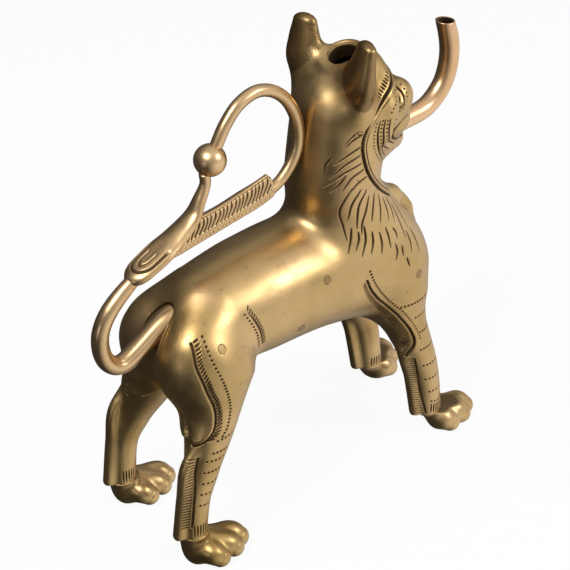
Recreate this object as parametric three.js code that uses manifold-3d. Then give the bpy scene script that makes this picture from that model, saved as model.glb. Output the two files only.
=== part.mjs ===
// A cast brass lion aquamanile: a hollow water vessel filled through the crown and poured from the mouth.
// Millimetres, +X towards the muzzle, +Y towards the lion's left, +Z up, standing on z = 0.
// The masses are built as a modeller builds wax over an armature: tapered limbs along splines,
// blended into one skin, then parted into the castings that are brazed together.
import * as THREE from "three";
import { mergeVertices } from "three/addons/utils/BufferGeometryUtils.js";
import Module from "manifold-3d";

const wasm = await Module();
wasm.setup();

// Walls and joints
const WALL = 3.2; // thickness of the hollow castings
const SEAT = 0.3; // gap at every brazed seam
const SPIGOT_WALL = 2.4;
const SPIGOT_LENGTH = 7; // how far the neck reaches into the body
const SPIGOT_LEDGE = 1.6; // body metal left outside the neck's spigot
const TENON_D = 15; // round tenon on top of each leg
const TENON_LENGTH = 8;
const ANKLE_TENON_D = 8;
const ANKLE_TENON_LENGTH = 5;

// Body
const BARREL_R = 34;
const BARREL_Z = 132.5; // height of the body's axis
const RUMP_X = 45;
const RUMP_R = 30;
const HAUNCH_X = 27;
const HAUNCH_R = 25;
const HAUNCH_SPREAD = 30; // between the middles of the haunches
const CHEST_X = 168;
const CHEST_R = 32.5;
const CHEST_DROP = 13; // the chest hangs below the body's axis
const SHOULDER_R = 22;
const SHOULDER_SPREAD = 28;

// Neck and head
const NECK_X = 136;
const NECK_R = 25.8;
const NECK_BREADTH = 1.08; // across the neck against along it
const NECK_SEAM_Z = 182; // the narrowest place of the throat
const SKULL_X = 140;
const SKULL_Z = 228;
const SKULL_R = 25;
const RUFF_X = 159; // the rolled edge of the mane over the brow
const RUFF_Z = 247;
const RUFF_R = 6.5;
const RUFF_SPREAD = 42;
const MUZZLE_X = 172;
const MUZZLE_Z = 213;
const MUZZLE_R = 16;
const BROW_Z = 235;
const CHIN_Z = 195;
const CHIN_R = 10;
const EYE_D = 12;
const EYE_SPREAD = 24;
const NOSE_R = 5;

// Legs and paws
const LEG_SEAM_Z = 84; // where the legs join the body
const HIND_ANKLE_Z = 22; // where the legs stand on the paws
const FORE_ANKLE_Z = 15;
const HOCK_Z = 60;
const HIND_ANKLE_X = 6;
const HIND_TRACK = 62; // between the hind legs
const HIND_STRIDE = [1.5, 5.5, -4]; // the left hind ankle stands off from the right one's mirror image
const FORE_ANKLE_X = 191;
const FORE_LEAD = 6; // the left forefoot stands this far ahead of the right one
const FORE_TRACK = 59;
const HIND_ANKLE_R = 8;
const FORE_ANKLE_R = 9;
const COMB_WIDTH = 7; // the raised strip of hair down the back of each shank
const COMB_RISE = 3;
const COMB_TOP_Z = 76;
const HIND_PAW_LENGTH = 37;
const FORE_PAW_LENGTH = 32;
const PAW_WIDTH = 29;
// Degrees that each paw points to the lion's right
const PAW_TURN = { rear_right: 40, rear_left: 36, front_right: 40, front_left: 5 };
const HIND_PAW_AHEAD = 3; // from the ankle to the middle of the paw
const FORE_PAW_AHEAD = 7.5;
const PAW_ASIDE = 4.9; // each paw's middle is to the left of its ankle
const TOES = 3;
const TOE_R = 6.6;

// Ears
const EAR_LENGTH = 46;
const EAR_WIDTH = 25;
const EAR_THICKNESS = 15;
const EAR_SPREAD = 45;
const EAR_X = 134;
const EAR_DEPTH = 24; // how far the ear's foot is below the top of the skull
const EAR_LEAN = 3; // the tip's reach ahead of the foot
const EAR_TURN = 14; // degrees that each ear opens outwards
const EAR_HOLLOW = 4.5; // depth of the scooped front

// Filler and spout
const FILLER_X = 144;
const FILLER_RISE = 0.5; // of the filler's middle above the top of the skull
const FILLER_OD = 26;
const FILLER_BORE = 16;
const FILLER_HEIGHT = 9;
const FILLER_TILT = 20; // degrees that the filler leans back
const SPOUT_OD = 11.5;
const SPOUT_BORE = 9.3;
const MOUTH_R = 9; // the space inside the lips, where the spout begins
const SPOUT_ROOT_X = 174;
const SPOUT_Z = 202;
const SPOUT_REACH = 51; // how far the spout swings out from its root
const SPOUT_RISE = 52;

// Tail and handle
const TAIL_D = 10;
const TAIL_ROOT_DEPTH = 9; // how far the tail is let into the rump
const BAR_D = 6.4;
const LOOP_D = 7;
const COMB_FIN_HEIGHT = 13; // the engraved fin that stands on the handle bar
const COMB_FIN_THICKNESS = 2.8;
const BALL_D = 17.5;
const BALL_PIN_D = 3.4; // the handle's last end, which holds the ball and the tuft
const BALL_PIN_REACH = 5; // of the pin past the ball, into the tuft
const BALL_SEAT = 1.2; // how far the handle and the tuft are let into the ball
const TUFT_WIDTH = 19;
const TUFT_THICKNESS = 8;
const TUFT_NECK_D = 6;

// Plugs that close the holes of the core's pins, one in each flank at every place
const PLUG_D = 4.4;
const PLUG_PLACES = [
  ["haunch", HAUNCH_X + 1, BARREL_Z + 3.5],
  ["belly", RUMP_X + 41, BARREL_Z - 11],
  ["flank", RUMP_X + 59.5, BARREL_Z + 13],
  ["chest", CHEST_X + 3, BARREL_Z - CHEST_DROP + 4.5],
];

// Grids of the skins
const BODY_CELL = 10;
const HEAD_CELL = 8;
const FACE_CELL = 5.2;
const BODY_HOLLOW_CELL = 14;
const HEAD_HOLLOW_CELL = 9;
const LEG_CELL = 6.6;
const PAW_CELL = 4.2;
const EAR_CELL = 4.2;
const SLOPE_STEP = 0.05;

const SIDES = [
  ["right", -1],
  ["left", 1],
];

// Solids from meshes
function solid(positions, triangles) {
  const vertProperties = new Float32Array(positions);
  const triVerts = new Uint32Array(triangles);
  return new wasm.Manifold(new wasm.Mesh({ numProp: 3, vertProperties, triVerts }));
}

function solidFrom(geometry) {
  const bare = geometry.clone();
  bare.deleteAttribute("normal");
  bare.deleteAttribute("uv");
  const merged = mergeVertices(bare, 1e-4);
  return solid(merged.getAttribute("position").array, merged.index.array);
}

function cylinder(diameter, low, high, place, tilt = 0) {
  const sides = Math.max(10, Math.round(diameter * 1.1));
  const geometry = new THREE.CylinderGeometry(diameter / 2, diameter / 2, high - low, sides)
    .rotateX(Math.PI / 2)
    .translate(0, 0, (low + high) / 2)
    .rotateY(THREE.MathUtils.degToRad(tilt))
    .translate(...place);
  return solidFrom(geometry);
}

function geometryOf(piece) {
  const mesh = piece.getMesh();
  return new THREE.BufferGeometry()
    .setAttribute("position", new THREE.BufferAttribute(new Float32Array(mesh.vertProperties), 3))
    .setIndex(new THREE.BufferAttribute(new Uint32Array(mesh.triVerts), 1));
}

// The same solid with its skin moved outwards
function grown(piece, distance) {
  const geometry = geometryOf(piece);
  geometry.computeVertexNormals();
  const normals = geometry.getAttribute("normal").array;
  const positions = geometry.getAttribute("position").array.map((v, n) => v + distance * normals[n]);
  return solid(positions, geometry.index.array);
}

const CORNERS = [...Array(8).keys()].map((n) => [n & 1, (n >> 1) & 1, n >> 2]);
const isEdge = (a, b) => b.every((v, m) => v >= a[m]) && b.reduce((sum, v, m) => sum + v - a[m], 0) === 1;
const CELL_EDGES = CORNERS.flatMap((a) => CORNERS.filter((b) => isEdge(a, b)).map((b) => [a, b]));

// A point moved onto the surface along the field's slope, if it is not too far off
function settled(field, [x, y, z], reach) {
  const value = field(x, y, z);
  const slope = [
    field(x + SLOPE_STEP, y, z) - value,
    field(x, y + SLOPE_STEP, z) - value,
    field(x, y, z + SLOPE_STEP) - value,
  ];
  const size = Math.hypot(...slope) / SLOPE_STEP;
  if (Math.abs(value) > reach * size) return [x, y, z];
  const move = value / (size * size * SLOPE_STEP);
  return [x - move * slope[0], y - move * slope[1], z - move * slope[2]];
}

// Where two inside corners of a grid face meet only across its diagonal, a third corner joins them,
// so that the skin never touches itself
function bridge(values, [nx, ny, nz], at, cell) {
  const faces = [
    [[1, 0, 0], [0, 1, 0]],
    [[0, 1, 0], [0, 0, 1]],
    [[0, 0, 1], [1, 0, 0]],
  ];
  let joined = true;
  while (joined) {
    joined = false;
    for (let k = 1; k < nz - 2; k++)
      for (let j = 1; j < ny - 2; j++)
        for (let i = 1; i < nx - 2; i++)
          for (const [u, v] of faces) {
            const face = [
              at(i, j, k),
              at(i + u[0], j + u[1], k + u[2]),
              at(i + u[0] + v[0], j + u[1] + v[1], k + u[2] + v[2]),
              at(i + v[0], j + v[1], k + v[2]),
            ];
            const inside = face.map((n) => values[n] < 0);
            if (inside[0] !== inside[2] || inside[1] !== inside[3] || inside[0] === inside[1]) continue;
            const [a, b] = inside[0] ? [face[1], face[3]] : [face[0], face[2]];
            values[values[a] < values[b] ? a : b] = -cell / 20;
            joined = true;
          }
  }
}

// A closed skin round the space where field(x, y, z) is negative, one vertex for each cell it crosses
function skin(field, low, high, cell) {
  const start = low.map((v) => Math.floor(v / cell) * cell);
  const [nx, ny, nz] = start.map((v, i) => Math.ceil((high[i] - v) / cell) + 1);
  const at = (i, j, k) => (k * ny + j) * nx + i;
  const place = (i, j, k) => [start[0] + i * cell, start[1] + j * cell, start[2] + k * cell];
  const values = new Float64Array(nx * ny * nz);
  for (let k = 0; k < nz; k++)
    for (let j = 0; j < ny; j++)
      for (let i = 0; i < nx; i++) {
        const outermost = !i || !j || !k || i === nx - 1 || j === ny - 1 || k === nz - 1;
        const value = field(...place(i, j, k));
        values[at(i, j, k)] = outermost ? Math.max(value, cell / 2) : value;
      }

  bridge(values, [nx, ny, nz], at, cell);

  const vertexOf = new Int32Array(nx * ny * nz).fill(-1);
  const points = [];
  for (let k = 0; k < nz - 1; k++)
    for (let j = 0; j < ny - 1; j++)
      for (let i = 0; i < nx - 1; i++) {
        const sum = [0, 0, 0];
        let crossings = 0;
        for (const [a, b] of CELL_EDGES) {
          const near = values[at(i + a[0], j + a[1], k + a[2])];
          const far = values[at(i + b[0], j + b[1], k + b[2])];
          if (near < 0 === far < 0) continue;
          const t = near / (near - far);
          for (let m = 0; m < 3; m++) sum[m] += a[m] + t * (b[m] - a[m]);
          crossings++;
        }
        if (!crossings) continue;
        vertexOf[at(i, j, k)] = points.length / 3;
        const corner = place(i, j, k);
        const middle = corner.map((v, m) => v + (sum[m] / crossings) * cell);
        const moved = settled(field, middle, cell / 3);
        const kept = (v, m) => THREE.MathUtils.clamp(v, corner[m] + cell * 0.1, corner[m] + cell * 0.9);
        points.push(...moved.map(kept));
      }

  const triangles = [];
  for (let k = 0; k < nz - 1; k++)
    for (let j = 0; j < ny - 1; j++)
      for (let i = 0; i < nx - 1; i++) {
        const inside = values[at(i, j, k)] < 0;
        const quad = (next, ...cells) => {
          if (inside === next < 0) return;
          const [a, b, c, d] = cells.map(([di, dj, dk]) => vertexOf[at(i - di, j - dj, k - dk)]);
          if (inside) triangles.push(a, b, c, a, c, d);
          else triangles.push(a, c, b, a, d, c);
        };
        if (j && k) quad(values[at(i + 1, j, k)], [0, 1, 1], [0, 0, 1], [0, 0, 0], [0, 1, 0]);
        if (i && k) quad(values[at(i, j + 1, k)], [1, 0, 1], [1, 0, 0], [0, 0, 0], [0, 0, 1]);
        if (i && j) quad(values[at(i, j, k + 1)], [1, 1, 0], [0, 1, 0], [0, 0, 0], [1, 0, 0]);
      }
  return solid(points, triangles);
}

// Fields: each gives the distance from a point to a form, negative inside it
function limb(points, breadth = 1, steps = 4) {
  const spine = new THREE.CatmullRomCurve3(points.map(([x, y, z]) => new THREE.Vector3(x, y / breadth, z)));
  const girth = new THREE.CatmullRomCurve3(points.map(([, , , r]) => new THREE.Vector3(r, 0, 0)));
  const last = (points.length - 1) * steps;
  const knots = [...Array(last + 1).keys()].map((n) => {
    const { x, y, z } = spine.getPoint(n / last);
    return [x, y, z, girth.getPoint(n / last).x];
  });
  return (x, wideY, z) => {
    const y = wideY / breadth;
    let least = Infinity;
    for (let n = 0; n < last; n++) {
      const [ax, ay, az, ar] = knots[n];
      const [bx, by, bz, br] = knots[n + 1];
      const [dx, dy, dz] = [bx - ax, by - ay, bz - az];
      const along = ((x - ax) * dx + (y - ay) * dy + (z - az) * dz) / (dx * dx + dy * dy + dz * dz);
      const t = Math.min(1, Math.max(0, along));
      const away = Math.hypot(x - ax - t * dx, y - ay - t * dy, z - az - t * dz);
      least = Math.min(least, away - ar - t * (br - ar));
    }
    return least;
  };
}

function ellipsoid([cx, cy, cz], [rx, ry, rz]) {
  return (x, y, z) => {
    const [ux, uy, uz] = [(x - cx) / rx, (y - cy) / ry, (z - cz) / rz];
    const size = Math.hypot(ux, uy, uz);
    const slope = Math.hypot(ux / rx, uy / ry, uz / rz);
    return slope < 1e-9 ? -Math.min(rx, ry, rz) : (size * (size - 1)) / slope;
  };
}

function blend(soft, ...fields) {
  const join = (a, b) => {
    const h = Math.max(soft - Math.abs(a - b), 0) / soft;
    return Math.min(a, b) - (h * h * soft) / 4;
  };
  return (x, y, z) => fields.map((field) => field(x, y, z)).reduce(join);
}

const carve = (field, tool) => (x, y, z) => Math.max(field(x, y, z), -tool(x, y, z));
const offset = (field, distance) => (x, y, z) => field(x, y, z) - distance;

// The same field turned about an upright axis through [x, y]
function turned(field, [cx, cy], degrees) {
  const angle = THREE.MathUtils.degToRad(degrees);
  const [cos, sin] = [Math.cos(angle), Math.sin(angle)];
  return (x, y, z) => {
    const [dx, dy] = [x - cx, y - cy];
    return field(cx + dx * cos + dy * sin, cy + dy * cos - dx * sin, z);
  };
}

// The lion's masses
const chestZ = BARREL_Z - CHEST_DROP;
const torso = limb([
  [RUMP_X, 0, BARREL_Z, RUMP_R],
  [RUMP_X + 30, 0, BARREL_Z + 1, BARREL_R - 1],
  [RUMP_X + 70, 0, BARREL_Z, BARREL_R],
  [CHEST_X, 0, chestZ, CHEST_R],
]);
const neck = limb(
  [
    [CHEST_X - 13, 0, BARREL_Z + 8, CHEST_R - 2],
    [NECK_X + 6, 0, NECK_SEAM_Z - 18, NECK_R + 2],
    [NECK_X, 0, NECK_SEAM_Z, NECK_R],
    [NECK_X, 0, NECK_SEAM_Z + 6, NECK_R],
    [SKULL_X, 0, SKULL_Z, SKULL_R],
  ],
  NECK_BREADTH,
);
const ruff = limb([
  [RUFF_X - 8, -RUFF_SPREAD / 2 - 2, RUFF_Z - 30, RUFF_R - 1],
  [RUFF_X - 3, -RUFF_SPREAD / 2, RUFF_Z - 15, RUFF_R],
  [RUFF_X, 0, RUFF_Z + 3, RUFF_R],
  [RUFF_X - 3, RUFF_SPREAD / 2, RUFF_Z - 15, RUFF_R],
  [RUFF_X - 8, RUFF_SPREAD / 2 + 2, RUFF_Z - 30, RUFF_R - 1],
]);
const muzzle = limb(
  [
    [SKULL_X + 12, 0, BROW_Z - 6, SKULL_R - 6],
    [MUZZLE_X - 6, 0, MUZZLE_Z + 6, MUZZLE_R + 2],
    [MUZZLE_X, 0, MUZZLE_Z, MUZZLE_R],
  ],
  NECK_BREADTH,
);
const chin = limb([
  [NECK_X + 14, 0, CHIN_Z + 1, CHIN_R + 8],
  [MUZZLE_X - 1, 0, CHIN_Z, CHIN_R],
  [MUZZLE_X + 8, 0, CHIN_Z, CHIN_R - 2.5],
]);
const nose = limb([
  [MUZZLE_X + 5, 0, BROW_Z + 2, NOSE_R],
  [MUZZLE_X + 14, 0, MUZZLE_Z + 8, NOSE_R],
  [MUZZLE_X + 13, 0, MUZZLE_Z, NOSE_R + 1],
]);
const eye = (side) => ellipsoid(
  [MUZZLE_X + 5, (side * EYE_SPREAD) / 2, BROW_Z - 4],
  [6, EYE_D / 2 + 1, EYE_D / 2],
);
const haunch = (side) => ellipsoid(
  [HAUNCH_X, (side * HAUNCH_SPREAD) / 2, BARREL_Z - 12],
  [HAUNCH_R, HAUNCH_R - 3, HAUNCH_R + 3],
);
const shoulder = (side) => ellipsoid(
  [CHEST_X - 1, (side * SHOULDER_SPREAD) / 2, chestZ],
  [SHOULDER_R, SHOULDER_R, SHOULDER_R + 4],
);

// Legs from the body down to the ankle, each with its raised comb of hair behind the shank
function hindAnkle(side) {
  const [dx, dy, dz] = side > 0 ? HIND_STRIDE : [0, 0, 0];
  return [HIND_ANKLE_X + dx, (side * HIND_TRACK) / 2 + dy, HIND_ANKLE_Z + dz];
}
function foreAnkle(side) {
  const lead = side > 0 ? FORE_LEAD : 0;
  return [FORE_ANKLE_X + lead, (side * FORE_TRACK) / 2, FORE_ANKLE_Z];
}
const hindLeg = (side) => {
  const track = (side * HIND_TRACK) / 2;
  const [x, y, z] = hindAnkle(side);
  return limb([
    [HAUNCH_X + 5, track - side * 12, LEG_SEAM_Z + 28, 23],
    [HAUNCH_X - 1, track - side * 6, LEG_SEAM_Z + 6, 15.6],
    [x + 9.5, (track + y) / 2 - side, HOCK_Z + 4, 10.2],
    [x + 3, y, HOCK_Z - 14, 8.8],
    [x, y, z - 4, HIND_ANKLE_R],
  ]);
};
const foreLeg = (side) => {
  const [x, y, z] = foreAnkle(side);
  return limb([
    [CHEST_X + 1, y - side * 9, LEG_SEAM_Z + 16, 18],
    [CHEST_X + 6, y - side * 4, LEG_SEAM_Z - 3, 12.6],
    [x - 9, y, HOCK_Z - 3, 10.2],
    [x - 4, y, HOCK_Z - 20, 9.5],
    [x, y, z, FORE_ANKLE_R],
  ]);
};
const hindComb = (side) => comb(hindAnkle(side), HIND_ANKLE_R, 7);
const foreComb = (side) => comb(foreAnkle(side), FORE_ANKLE_R, -12);
function comb([x, y, foot], r, lean) {
  return limb([
    [x + lean - r - 1, y, COMB_TOP_Z - 8, COMB_RISE],
    [x + lean / 2 - r - 1, y, (COMB_TOP_Z + foot) / 2, COMB_WIDTH / 2],
    [x - r - 1, y, foot + 2, COMB_WIDTH / 2],
  ]);
}

const bothSides = (make) => SIDES.map(([, side]) => make(side));
const trunk = blend(9, blend(14, torso, neck), ...bothSides(haunch));
const head = blend(5, blend(8, muzzle, chin), ruff, nose, ...bothSides(eye));
const legs = [...bothSides(hindLeg), ...bothSides(foreLeg)];
const lion = blend(10, blend(7, trunk, head), ...bothSides(shoulder), ...legs);

// A rod along [x, y, z, across, deep] points that lie on the lion's middle plane, with flat ends
function rod(points, sides, steps, grow = 0) {
  const spine = new THREE.CatmullRomCurve3(points.map(([x, y, z]) => new THREE.Vector3(x, y, z)));
  const girths = points.map(([, , , across, deep]) => new THREE.Vector3(across, deep, 0));
  const girth = new THREE.CatmullRomCurve3(girths);
  const positions = [];
  for (let n = 0; n <= steps; n++) {
    const t = n / steps;
    const centre = spine.getPoint(t);
    const ahead = spine.getTangent(t);
    if (!n) centre.addScaledVector(ahead, -grow);
    if (n === steps) centre.addScaledVector(ahead, grow);
    const size = girth.getPoint(t);
    for (let m = 0; m < sides; m++) {
      const angle = ((m + 0.5) / sides) * 2 * Math.PI;
      const across = (size.x / 2 + grow) * Math.cos(angle);
      const deep = (size.y / 2 + grow) * Math.sin(angle);
      positions.push(centre.x - ahead.z * deep, centre.y + across, centre.z + ahead.x * deep);
    }
  }
  const triangles = [];
  for (let n = 0; n < steps; n++)
    for (let m = 0; m < sides; m++) {
      const [a, b] = [n * sides + m, n * sides + ((m + 1) % sides)];
      triangles.push(a, b, a + sides, b, b + sides, a + sides);
    }
  for (let m = 1; m < sides - 1; m++) {
    const end = steps * sides;
    triangles.push(0, m + 1, m, end, end + m, end + m + 1);
  }
  return solid(positions, triangles);
}

// Planes
const above = (piece, z) => piece.trimByPlane([0, 0, 1], z);
const below = (piece, z) => piece.trimByPlane([0, 0, -1], -z);

// An outline in the side elevation, [x, z], pushed right through the lion from side to side
function sideCut(outline, width) {
  const shape = new THREE.Shape(outline.map(([x, z]) => new THREE.Vector2(x, z)));
  const geometry = new THREE.ExtrudeGeometry(shape, { depth: width, bevelEnabled: false })
    .translate(0, 0, -width / 2)
    .rotateX(Math.PI / 2);
  return solidFrom(geometry);
}

// Tail: from the rump down, back and up to the foot of the handle
const tailRoot = [RUMP_X - RUMP_R + TAIL_ROOT_DEPTH + 1, BARREL_Z + 15.5];
const tailFoot = [tailRoot[0] - 25.2, tailRoot[1] + 28.7];
const tailPath = [
  [3, -3],
  [-7.4, -4.6],
  [-25, -15.2],
  [-39, -21],
  [-48, -13],
  [-50, 2],
  [-45, 13],
  [-36, 21.5],
  [-25.2, 28.7],
].map(([x, z], n) => [tailRoot[0] + x, 0, tailRoot[1] + z, TAIL_D - n * 0.15, TAIL_D - n * 0.15]);

// Handle: a straight bar up to the nape, then a loop along the nape and back over to the ball
const napeX = NECK_X - NECK_R;
const ball = [napeX - 60, NECK_SEAM_Z + 44.6];
const ballSlope = new THREE.Vector2(10.4, 16.6).normalize(); // the handle's direction through the ball
const throughBall = (distance) => [ball[0] + ballSlope.x * distance, ball[1] + ballSlope.y * distance];
const barPath = [
  [tailFoot[0] + SEAT, tailFoot[1] + SEAT],
  [tailFoot[0] + 8, tailFoot[1] + 3.4],
  [tailFoot[0] + 35.7, tailFoot[1] + 7.8],
  [tailFoot[0] + 62.8, tailFoot[1] + 11.7],
  [napeX - 25, NECK_SEAM_Z + 10],
  [napeX - 11, NECK_SEAM_Z + 15.8],
].map(([x, z]) => [x, 0, z, BAR_D, BAR_D]);
const loopPath = [
  [napeX - 1, NECK_SEAM_Z + 28.6],
  [napeX + 0.2, NECK_SEAM_Z + 43.2],
  [napeX - 6.8, NECK_SEAM_Z + 60.2],
  [napeX - 17.8, NECK_SEAM_Z + 70.1],
  [napeX - 29.3, NECK_SEAM_Z + 73.3],
  [napeX - 40.8, NECK_SEAM_Z + 69.7],
  throughBall(BALL_D / 2 + 11),
  throughBall(BALL_D / 2 - BALL_SEAT),
].map(([x, z]) => [x, 0, z, LOOP_D, LOOP_D]);
const handlePath = [...barPath, ...loopPath];
const tail = (grow) => rod(tailPath, 10, 18, grow);
const handle = (grow) => rod(handlePath, 8, 36, grow);

// Tuft: a leaf that hangs from the ball and rests on the foot of the handle
const tuftPath = [
  [...throughBall(BALL_SEAT - BALL_D / 2), TUFT_NECK_D, TUFT_NECK_D],
  [...throughBall(-BALL_D / 2 - 6), TUFT_NECK_D, TUFT_NECK_D],
  [tailFoot[0] + 39.5, tailFoot[1] + 21.5, TUFT_WIDTH * 0.55, TUFT_THICKNESS * 0.9],
  [tailFoot[0] + 22.4, tailFoot[1] + 9.5, TUFT_WIDTH, TUFT_THICKNESS],
  [tailFoot[0] + 10, tailFoot[1] + 3, TUFT_WIDTH * 0.85, TUFT_THICKNESS * 0.9],
  [tailFoot[0] - 1, tailFoot[1] - 3, TUFT_WIDTH * 0.45, TUFT_THICKNESS * 0.5],
].map(([x, z, across, deep]) => [x, 0, z, across, deep]);
const tuft = (grow) => rod(tuftPath, 10, 10, grow);

// The pin runs through the ball into the tuft, and its bore is the same form with the seam added
const ballTilt = THREE.MathUtils.radToDeg(ballSlope.angle());
function ballPin(fit) {
  const low = -BALL_D / 2 - BALL_PIN_REACH - fit;
  return cylinder(BALL_PIN_D + 2 * fit, low, BALL_D / 2, [ball[0], 0, ball[1]], 90 - ballTilt);
}

// The hollow, and the metal that stays round what is let into the walls
const floorZ = LEG_SEAM_Z + TENON_LENGTH + WALL; // the leg roots are solid below this
const crownZ = SKULL_Z + SKULL_R + 20;
const bodyLow = [RUMP_X - 60, -HIND_TRACK, LEG_SEAM_Z - BODY_CELL * 2];
const bodyHigh = [CHEST_X + 50, HIND_TRACK, crownZ];
const inside = offset(lion, -WALL);
const throatLow = [NECK_X - 2 * NECK_R, -2 * NECK_R, NECK_SEAM_Z - 2 * SPIGOT_LENGTH];
const bodyTop = [bodyHigh[0], bodyHigh[1], NECK_SEAM_Z + 2 * BODY_CELL];
const bodyCavity = above(skin(inside, bodyLow, bodyTop, BODY_HOLLOW_CELL), floorZ);
const headCavity = skin(inside, throatLow, bodyHigh, HEAD_HOLLOW_CELL);

// The neck's spigot and its seat in the body are the same ellipse, a seam apart
function neckEllipse(inset, low, high) {
  const r = NECK_R - inset;
  return solidFrom(
    new THREE.CylinderGeometry(r, r, high - low, 32)
      .rotateX(Math.PI / 2)
      .scale(1, NECK_BREADTH, 1)
      .translate(NECK_X, 0, (low + high) / 2),
  );
}

// A round tenon in its socket: the socket is the same form with the seam added
const hindSeat = (side) => [HAUNCH_X - 5, side * (HIND_TRACK / 2 - 6.6), 0];
const foreSeat = (side) => [CHEST_X + 5, side * (FORE_TRACK / 2 - 5.5), 0];
function legTenon(seat, fit) {
  return cylinder(TENON_D + 2 * fit, LEG_SEAM_Z - 3, LEG_SEAM_Z + TENON_LENGTH + fit, seat);
}

// The side outline of the face, along the rim of the mane from the crown to the throat
const rimOutline = [
  [RUFF_X + 9, RUFF_Z + 20],
  [RUFF_X + 6, RUFF_Z + 8],
  [RUFF_X - 1, RUFF_Z - 3],
  [RUFF_X - 14, RUFF_Z - 14],
  [RUFF_X - 23, RUFF_Z - 26],
  [RUFF_X - 25, RUFF_Z - 38],
  [RUFF_X - 21, RUFF_Z - 50],
  [RUFF_X - 14, RUFF_Z - 57],
  [RUFF_X - 6, NECK_SEAM_Z + 3],
];
function facePrism(grow) {
  const rim = rimOutline.map(([x, z]) => [x - grow, z]);
  const aheadX = MUZZLE_X + 40;
  return sideCut([...rim, [aheadX, NECK_SEAM_Z + 3 - grow], [aheadX, RUFF_Z + 20]], 4 * RUFF_SPREAD);
}

// Filler and spout
const fillerPlace = [FILLER_X, 0, SKULL_Z + SKULL_R + FILLER_RISE];
function fillerPlug(diameter, depth) {
  return cylinder(diameter, -FILLER_HEIGHT / 2 - depth, 40, fillerPlace, -FILLER_TILT);
}
const fillerBoss = fillerPlug(FILLER_OD + 2 * WALL, WALL);
const fillerSeat = fillerPlug(FILLER_OD + 2 * SEAT, SEAT).add(fillerPlug(FILLER_BORE, 2 * WALL));
function fillerRing() {
  const [outer, inner] = [FILLER_OD / 2, FILLER_BORE / 2];
  const profile = [
    [inner, -FILLER_HEIGHT / 2],
    [outer, -FILLER_HEIGHT / 2],
    [outer, FILLER_HEIGHT / 2 - 1],
    [outer - 1, FILLER_HEIGHT / 2],
    [outer - 2.4, FILLER_HEIGHT / 2],
    [inner + 1.2, 0.6],
    [inner, -0.6],
    [inner, -FILLER_HEIGHT / 2],
  ].map(([r, h]) => new THREE.Vector2(r, h));
  return solidFrom(
    new THREE.LatheGeometry(profile, 24)
      .rotateX(Math.PI / 2)
      .rotateY(THREE.MathUtils.degToRad(-FILLER_TILT))
      .translate(...fillerPlace),
  );
}

const spoutPath = new THREE.CatmullRomCurve3(
  [
    [0, 0],
    [0.36, 0],
    [0.69, 0.05],
    [0.92, 0.25],
    [1, 0.5],
    [0.99, 0.74],
    [0.91, 1],
  ].map(([out, up]) => new THREE.Vector3(SPOUT_ROOT_X + out * SPOUT_REACH, 0, SPOUT_Z + up * SPOUT_RISE)),
);
function tube(diameter, bore, path, steps) {
  const section = new THREE.Shape().absarc(0, 0, diameter / 2, 0, 2 * Math.PI);
  if (bore) section.holes.push(new THREE.Path().absarc(0, 0, bore / 2, 0, 2 * Math.PI, true));
  return solidFrom(new THREE.ExtrudeGeometry(section, { steps, curveSegments: 6, extrudePath: path }));
}

// The spout's seat through the lips, and the space behind it that opens into the hollow
function mouth() {
  const behind = new THREE.SphereGeometry(MOUTH_R, 12, 8)
    .translate(SPOUT_ROOT_X - MOUTH_R / 2, 0, SPOUT_Z + 1);
  return tube(SPOUT_OD + 2 * SEAT, 0, spoutPath, 12).add(solidFrom(behind));
}

// Ears: egg-shaped, scooped in front, each standing in a seat in the skull
const earTopZ = SKULL_Z + SKULL_R - EAR_DEPTH + EAR_LENGTH;
function ear(side) {
  const [middleY, middleZ] = [(side * EAR_SPREAD) / 2, earTopZ - EAR_LENGTH / 2];
  const egg = limb([
    [EAR_X + EAR_LEAN, middleY, earTopZ - EAR_THICKNESS / 2 + 2.2, EAR_THICKNESS / 2 - 2.6],
    [EAR_X, middleY, middleZ + 2, EAR_THICKNESS / 2],
    [EAR_X, middleY - side * 3, earTopZ - EAR_LENGTH + EAR_THICKNESS / 2 - 1, EAR_THICKNESS / 2 - 1],
  ]);
  const wide = (x, y, z) => egg(x, middleY + ((y - middleY) * EAR_THICKNESS) / EAR_WIDTH, z);
  const scoop = ellipsoid(
    [EAR_X + EAR_THICKNESS / 2 + 1, middleY, middleZ + 10],
    [EAR_HOLLOW + 1, EAR_WIDTH / 2 - 3, 14],
  );
  const form = turned(carve(wide, scoop), [EAR_X, middleY], side * EAR_TURN);
  const reach = EAR_WIDTH;
  return skin(
    form,
    [EAR_X - reach, middleY - reach, earTopZ - EAR_LENGTH - 4],
    [EAR_X + reach, middleY + reach, earTopZ + 6],
    EAR_CELL,
  );
}

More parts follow.
